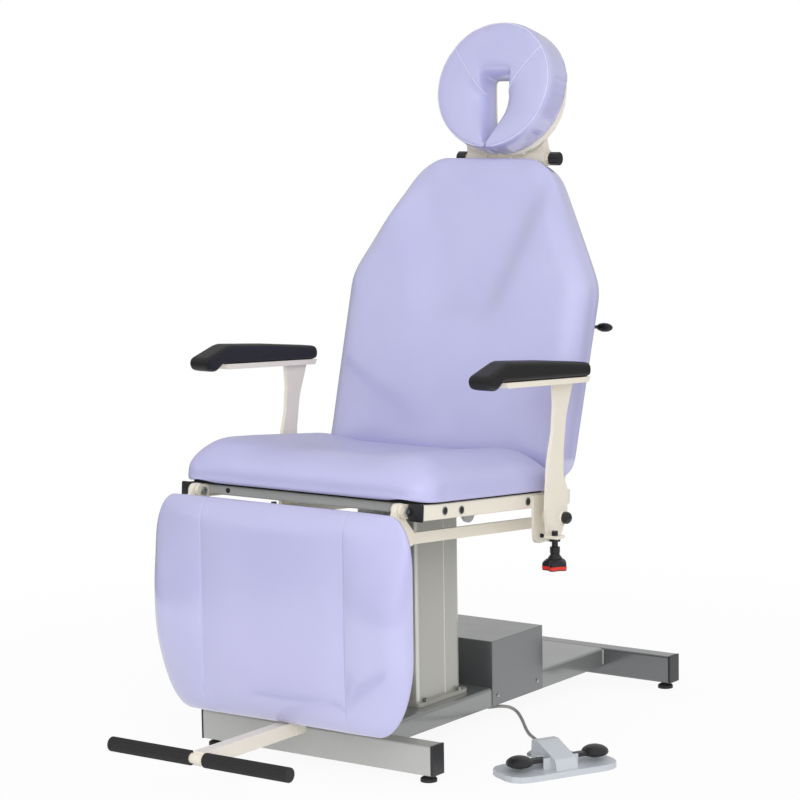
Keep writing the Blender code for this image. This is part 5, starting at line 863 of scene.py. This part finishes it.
LEG_PAD_BACK = -0.0443
LEG_BOTTOM, LEG_TOP = -0.427, 0.001
LEG_HALF_WIDTH = 0.309
LEG_TOP_RUN, LEG_TOP_DRAW = 0.090, 0.052
LEG_FOOT_RUN, LEG_FOOT_DRAW = 0.170, 0.082
LEG_SEAM, SEAM_HOLD, SEAM_DEPTH, SEAM_SPREAD = 0.172, 0.004, 0.0008, 0.0018
LEG_THICKNESS, LEG_EDGE, LEG_ROUND = 0.040, 0.010, 0.048
BOLSTER_RISE, BOLSTER_RUN = 0.010, 0.050
BOLSTER_END_RUN, BOLSTER_END_DROP = 0.21, 0.032
BOLSTER_WIDTH = LEG_HALF_WIDTH - LEG_SEAM


def leg_half_width(y):
    drawn_in = round_end(LEG_TOP - y, LEG_TOP_RUN, LEG_TOP_DRAW)
    return LEG_HALF_WIDTH - drawn_in - round_end(y - LEG_BOTTOM, LEG_FOOT_RUN, LEG_FOOT_DRAW)


def leg_surface(x, y):
    """The middle panel is flat. A bolster swells from each seam and falls away towards its ends."""
    past = abs(x) - LEG_SEAM
    ends = ease(BOLSTER_END_RUN, 0, min(LEG_TOP - y, y - LEG_BOTTOM))
    swell = BOLSTER_RISE * (1 - ends) * edge_fall(past, BOLSTER_RUN)
    return LEG_THICKNESS + swell + (BOLSTER_RISE - BOLSTER_END_DROP) * ends * ease(0, BOLSTER_WIDTH, past)


def leg_seam(co):
    return abs(abs(co.x) - LEG_SEAM)


def leg_dip(co):
    return SEAM_DEPTH * math.exp(-((leg_seam(co) / SEAM_SPREAD) ** 2)) if co.z > HELD_BELOW else 0.0


for hand in HANDS:
    dress(cream_coat, "legrest_arm_" + hand, "link_bar_" + hand)
dress(cream_coat, "footrest_sleeve")
dress(lining, "legrest_board")
leg_place = Matrix.Translation(leg_hinge + Vector((0, LEG_PAD_BACK, 0))) @ FRONT
upholster(
    pad_cover("legrest_pad", LEG_BOTTOM, LEG_TOP, leg_half_width, leg_surface, LEG_EDGE, LEG_ROUND, LEG_SEAM),
    "legrest_cushion",
    leg_place,
    "legrest",
    cap=0.004,
    held=lambda co: 1.0 if leg_seam(co) < SEAM_HOLD else 0.0,
    dip=leg_dip,
)

# Footrest: a bent cream tube that slides in the sleeve, with a ribbed black rubber grip on each end of its
# cross bar.

dress(cream_coat, "footrest_stem")
dress(black_rubber, "footrest_grip_left", "footrest_grip_right")

# Backrest: cream arms from the rear hinge carry a lined board and one deep pad without seams, dished in the
# middle. The headrest's guide, the gas spring and its release lever sit behind the board.

BACK_TILT = math.radians(15.8)
BACK_PAD_REAR = 0.022
BACK_BOTTOM, BACK_SHOULDER, BACK_TOP = 0.030, 0.434, 0.698
BACK_WIDTHS = (0.297, 0.302, 0.155)
BACK_BOTTOM_CORNER, BACK_TOP_CORNER = 0.045, 0.055
BACK_THICKNESS, BACK_EDGE, BACK_ROUND = 0.048, 0.040, 0.042
BACK_RISE = 0.030
WING_INSIDE, WING_SLOPE, WING_SOFT, WING_FULL = 0.106, 0.33, 0.038, 0.540
LUMBAR_FULL, LUMBAR_TOP = 0.310, 0.410
GUIDE_SCREW_RISES, GUIDE_SCREW_ACROSS, GUIDE_FLANGE_FACE = (0.41, 0.525, 0.64), 0.0195, 0.0380
GUIDE_SCREW = (0.0062, 0.0022)

back_hinge = Vector(joints["recline"]["pos_m"])
back = Matrix.Translation(back_hinge) @ Matrix.Rotation(-BACK_TILT, 4, "X")


def back_half_width(y):
    low, shoulder, high = BACK_WIDTHS
    if y < BACK_SHOULDER:
        width = low + (shoulder - low) * (y - BACK_BOTTOM) / (BACK_SHOULDER - BACK_BOTTOM)
    else:
        width = shoulder + (high - shoulder) * (y - BACK_SHOULDER) / (BACK_TOP - BACK_SHOULDER)
    width -= round_end(y - BACK_BOTTOM, BACK_BOTTOM_CORNER, BACK_BOTTOM_CORNER)
    return width - round_end(BACK_TOP - y, BACK_TOP_CORNER, BACK_TOP_CORNER)


def back_surface(x, y):
    wing = WING_INSIDE + WING_SLOPE * (y - BACK_SHOULDER)
    wings = ease(wing - WING_SOFT, wing + WING_SOFT, abs(x)) * ease(BACK_TOP, WING_FULL, y)
    lumbar = ease(LUMBAR_TOP, LUMBAR_FULL, y)
    return BACK_THICKNESS + BACK_RISE * (1 - (1 - wings) * (1 - lumbar))


dress(cream_coat, "backrest_arm_left", "backrest_arm_right", "headrest_guide")
dress(lining, "backrest_board")
back_place = back @ Matrix.Translation((0, BACK_PAD_REAR, 0)) @ FRONT
back_form = (back_half_width, back_surface, BACK_EDGE, BACK_ROUND)
back_cover = pad_cover("backrest_pad", BACK_BOTTOM, BACK_TOP, *back_form)
upholster(back_cover, "backrest_cushion", back_place, "backrest", cap=0.004)

# Six pan-head screws hold the guide's flanges to the board
guide_screws = bmesh.new()
rearward = back.to_3x3() @ Vector((0, 1, 0))
for rise in GUIDE_SCREW_RISES:
    for across in (-GUIDE_SCREW_ACROSS, GUIDE_SCREW_ACROSS):
        spot = back @ Vector((across, GUIDE_FLANGE_FACE, rise))
        cross_screw(guide_screws, aim(spot, rearward), *GUIDE_SCREW)
fit("guide_screws", guide_screws, zinc, "backrest")

dress(ground_steel, "recline_lever", "gas_spring_rod")
dress(black_abs, "recline_lever_knob")
# Gas spring tube: smooth gloss black enamel
enamel = grained("black_spring_enamel", ("#1B1B1D", "#222225"), 0.25, 0.003, 0.0001)
dress(enamel, "gas_spring_cylinder")

# Headrest: a ring cushion with a slot for the face, sewn from a front panel, an upper panel and a side band,
# on a cream plate. Fluted knobs clamp the plate to the cross tube of its sliding post.

HEAD_PLATE_FRONT = -0.0368
RING_RISE = 0.136
RING_HALF_WIDTH, RING_HALF_HEIGHT = 0.142, 0.137
RING_THICKNESS, RING_EDGE, RING_SLOT_EDGE = 0.066, 0.050, 0.014
RING_LIP, LIP_RISE = 0.0064, (0.004, 0.036)
RING_RIDGE, RIDGE_ROUND, RIDGE_TURNS = 0.955, 1.1, range(-82, 263, 3)
GROOVE_DEPTH, GROOVE_OUT, GROOVE_SPREAD = 0.0009, 0.02, 0.014
RING_AROUND = 112
RING_ROWS = 22
RING_WALL = ((0.75, -0.0002), (0.5, -0.0004), (0.25, -0.0005), (0.0, -0.0006))
SLOT_TOP, SLOT_BOTTOM = 0.021, -0.124
SLOT_HALF_WIDTHS = (0.034, 0.004)
SLOT_GLUED = (0.004, 0.030)
SLOT_CORNER = 8
SLIT_TOP, SLIT_DEPTH, SLIT_SPREAD = SLOT_BOTTOM + 0.006, 0.006, 0.0028
SEAM_TURNS = (math.radians(38), math.radians(142))
SEAM_FROM, SEAM_RUN, SEAM_STEPS = 0.04, 0.93, 40
PUCKERS = 31
PUCKER_DEPTH, PUCKER_OUT, PUCKER_DROP = 0.0011, (0.97, 1.0), (0.052, 0.030)
KNOB_FACE = ((0.0138, -0.0006), (0.0138, 0.0006), (0.0126, 0.0012), (0.0112, 0.0011), (0.0106, 0.0003))
KNOB_FACE += ((0.0044, 0.0003), (0.0040, 0.0012), (0.0016, 0.0014))

head_hinge = Vector(joints["headrest_tilt"]["pos_m"])
head_turn = Matrix.Rotation(-BACK_TILT, 4, "X")
head = Matrix.Translation(Vector((chair.x, head_hinge.y, head_hinge.z))) @ head_turn
head_place = head @ Matrix.Translation((0, HEAD_PLATE_FRONT, RING_RISE)) @ FRONT
slot_middle = Vector((0, (SLOT_TOP + SLOT_BOTTOM) / 2))


def slot_edge(ray):
    """Where a ray from the slot's middle meets its outline, a trapezium that narrows downwards."""
    high, low = SLOT_HALF_WIDTHS
    slope = (high - low) / (SLOT_TOP - SLOT_BOTTOM)
    end = SLOT_TOP if ray.y > 0 else SLOT_BOTTOM
    level = (end - slot_middle.y) / (ray.y if ray.y > 0 else min(ray.y, -1e-9))
    half = low + slope * (slot_middle.y - SLOT_BOTTOM)
    side = half / max(abs(ray.x) - slope * ray.y, 1e-9)
    # The two reaches are blended, which rounds the corners
    return slot_middle + ray * (level**-SLOT_CORNER + side**-SLOT_CORNER) ** (-1 / SLOT_CORNER)


def ring_point(turn, share):
    """A flat place on the ring: a turn about the slot's middle and a share of the way out to the rim."""
    outer = Vector((RING_HALF_WIDTH * math.cos(turn), RING_HALF_HEIGHT * math.sin(turn)))
    inner = slot_edge((outer - slot_middle).normalized())
    return inner + (outer - inner) * share


def ring_height(turn, share):
    """The padding rolls up out of the slot, steeper above it, and turns over a ridge to the side band."""
    if share < 0.5:
        roll = 0.5 - 0.3 * ease(0.35, 0.9, math.sin(turn))
        return RING_SLOT_EDGE + (RING_THICKNESS - RING_SLOT_EDGE) * edge_fall(share, roll)
    fall = edge_fall(1 - share, RIDGE_ROUND * (1 - RING_RIDGE))
    return RING_EDGE + (RING_THICKNESS - RING_EDGE) * fall


def slot_hold(co):
    """The cover is glued down along the slot."""
    away = Vector((co.x, co.y)) - slot_middle
    reach = (slot_edge(away.normalized()) - slot_middle).length
    return 1 - ease(*SLOT_GLUED, away.length - reach)


def ring_dip(co):
    """The slit below the slot, the seam's groove and the side band's puckers, which lie unevenly."""
    depth = SLIT_DEPTH * math.exp(-((co.x / SLIT_SPREAD) ** 2)) if co.y < SLIT_TOP else 0.0
    turn = math.atan2(co.y, co.x)
    reach = math.hypot(co.x / RING_HALF_WIDTH, co.y / RING_HALF_HEIGHT)
    if co.z > RING_EDGE:
        depth += GROOVE_DEPTH * math.exp(-(((reach - RING_RIDGE - GROOVE_OUT) / GROOVE_SPREAD) ** 2))
    fold = 0.5 + 0.5 * math.cos(PUCKERS * turn + 2.2 * math.sin(5 * turn) + 1.1 * math.sin(11 * turn))
    return depth + PUCKER_DEPTH * fold**3 * ease(*PUCKER_OUT, reach) * ease(*PUCKER_DROP, co.z)


dress(cream_coat, "headrest_plate", "headrest_post")
dress(black_abs, "headrest_knob_left", "headrest_knob_right")
for hand, side in HANDS.items():
    knob_low, knob_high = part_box("headrest_knob_" + hand)
    tip = Vector(((knob_high if side > 0 else knob_low)[0], head_hinge.y, head_hinge.z))
    face = bmesh.new()
    turned(face, KNOB_FACE, aim(tip, (side, 0, 0)))
    fit("clamp_knob_face_" + hand, face, black_abs, "clamp_knob_" + hand)
turns = [2 * math.pi * i / RING_AROUND - math.pi / 2 for i in range(RING_AROUND)]
shares = [(1 - math.cos(math.pi * i / RING_ROWS)) / 2 for i in range(RING_ROWS + 1)]
ring = bmesh.new()
rings = [[(*ring_point(t, share), ring_height(t, share)) for t in turns] for share in shares]
loops = skin(ring, rings, closed=False)
# Above the middle the band is turned over the plate's edge
lip = drop_wall(ring, loops[-1], RING_WALL)
turned_over = drop_wall(ring, lip, ((0.0, 0.0014),))
for point in lip + turned_over:
    point.co.z = -RING_LIP * ease(*LIP_RISE, point.co.y)
foot = drop_wall(ring, turned_over, ((0.0, 0.0002),))
slot_foot = drop_wall(ring, loops[0], ((0.5, 0.0), (0.0, 0.0)))
for i in range(RING_AROUND):
    ring.faces.new((foot[i - 1], foot[i], slot_foot[i], slot_foot[i - 1]))
ridge = [ring_point(math.radians(a), RING_RIDGE) for a in RIDGE_TURNS]
shares = [SEAM_FROM + SEAM_RUN * i / SEAM_STEPS for i in range(SEAM_STEPS + 1)]
radial = [[ring_point(turn, share) for share in shares] for turn in SEAM_TURNS]
upholster(
    to_mesh("headrest_ring", ring),
    "headrest_cushion",
    head_place,
    "headrest",
    cap=0.003,
    held=slot_hold,
    dip=ring_dip,
    paths=[ridge, *radial],
)

# Armrests: cream plates with a tray on top, each turning on a stud under the seat rail. A black dome cap and
# a cream collar close the stud, and a lobed knob with a red cap locks the arm. A black socket screw holds
# each bracket.

STUD_COLLAR = ((0.0058, 0), (0.0140, 0), (0.0140, 0.0022), (0.0130, 0.0034), (0.0058, 0.0034))
DOME_RADIUS, DOME_START, DOME_HEIGHT = 0.0122, 0.0094, 0.0098
STUD_DOME = ((0.0118, 0.0036), (DOME_RADIUS, 0.0044), (DOME_RADIUS, DOME_START))
DOME_TURNS = (0.25, 0.5, 0.75, 1.0, 1.25, 1.45)
POST_SETBACK, POST_GAP = 0.007, 0.0003
BRACKET_THICKNESS = 0.0063
BRACKET_SCREW_PLACE = (-0.019, -0.037)
BRACKET_SCREW = (0.0085, 0.0050, 0.0040)
KNOB_RADIUS, KNOB_LOBES, KNOB_WAVE = 0.0255, 5, (0.86, 0.14)
LOBE_STEPS = 60
# How far above the knob's foot, and how far inside its outline
RED_CAP = ((0.0085, -0.0004), (0.0030, -0.0004), (0.0008, 0.0004), (-0.0002, 0.0018), (-0.0006, 0.0045))


def lobed(inset):
    """The knob's outline, drawn in by an inset, as a radius at each turn."""
    return lambda turn: KNOB_RADIUS * (KNOB_WAVE[0] + KNOB_WAVE[1] * math.cos(KNOB_LOBES * turn)) - inset


# Red ABS cap: clear bright red with the same fine grain
red_abs = grained("moulded_red_abs", ("#D2261C", "#DE2F24"), 0.38, 0.0011, 0.0002, 1.54)
arm_pivot = Vector(joints["armrest_swing_left"]["pos_m"])
post_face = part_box("armrest_bracket_left")[1][0] - POST_SETBACK - chair.x
bolt_face = rail_high + BRACKET_THICKNESS
dome = [(DOME_RADIUS * math.cos(a), DOME_START + DOME_HEIGHT * math.sin(a)) for a in DOME_TURNS]
collars, domes, bracket_bolts = bmesh.new(), bmesh.new(), bmesh.new()
for hand, side in HANDS.items():
    dress(cream_coat, "armrest_bracket_" + hand, "armrest_frame_" + hand)
    dress(black_abs, "armrest_knob_" + hand)
    spot = Vector((chair.x + side * (post_face + POST_GAP), arm_pivot.y, arm_pivot.z))
    out = aim(spot, (side, 0, 0))
    turned(collars, STUD_COLLAR, out)
    turned(domes, (*STUD_DOME, *dome), out)
    across, rise = BRACKET_SCREW_PLACE
    spot = Vector((chair.x + side * bolt_face, arm_pivot.y + across, arm_pivot.z + rise))
    socket_screw(bracket_bolts, aim(spot, (side, 0, 0)), *BRACKET_SCREW)
    middle = Vector(joints["lock_knob_turn_" + hand]["pos_m"])
    place = Matrix.Translation((middle.x, middle.y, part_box("armrest_knob_" + hand)[0][2]))
    cap = bmesh.new()
    skin(cap, [circle(place, lobed(inset), rise, LOBE_STEPS) for rise, inset in RED_CAP])
    fit("knob_cap_" + hand, cap, red_abs, "lock_knob_" + hand)
fit("stud_collars", collars, cream_coat, "lift")
fit("stud_domes", domes, black_abs, "lift")
fit("bracket_bolts", bracket_bolts, enamel, "lift")

# Arm pads: black integral-skin polyurethane foam moulded over the tray, with a rounded hook at the front
# that the hand closes round.

PAD_VOXEL = 0.003
PAD_SMOOTHING = 8

# Foam skin: a low gloss pebble grain, drawn at 1.5 mm
foam_skin = grained("moulded_foam_skin", ("#0E0E0F", "#171719"), 0.5, 0.0015, 0.0003, 1.5)
for hand in HANDS:
    shape = bmesh.new()
    shape.from_mesh(frame["nodes"]["armrest_pad_" + hand].data)
    bmesh.ops.remove_doubles(shape, verts=shape.verts, dist=1e-5)
    mesh = bpy.data.meshes.new("arm_pad_" + hand)
    shape.to_mesh(mesh)
    shape.free()
    pad = put("arm_pad_" + hand, mesh)
    remesh = pad.modifiers.new("skin", "REMESH")
    remesh.mode = "VOXEL"
    remesh.voxel_size = PAD_VOXEL
    smooth = pad.modifiers.new("soft", "SMOOTH")
    smooth.factor = 0.5
    smooth.iterations = PAD_SMOOTHING
    graph = bpy.context.evaluated_depsgraph_get()
    mesh = bpy.data.meshes.new_from_object(pad.evaluated_get(graph))
    pad.modifiers.clear()
    pad.data = mesh
    mesh.shade_smooth()
    mesh.materials.clear()
    mesh.materials.append(foam_skin)
    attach(pad, "armrest_" + hand)
    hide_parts("armrest_pad_" + hand)
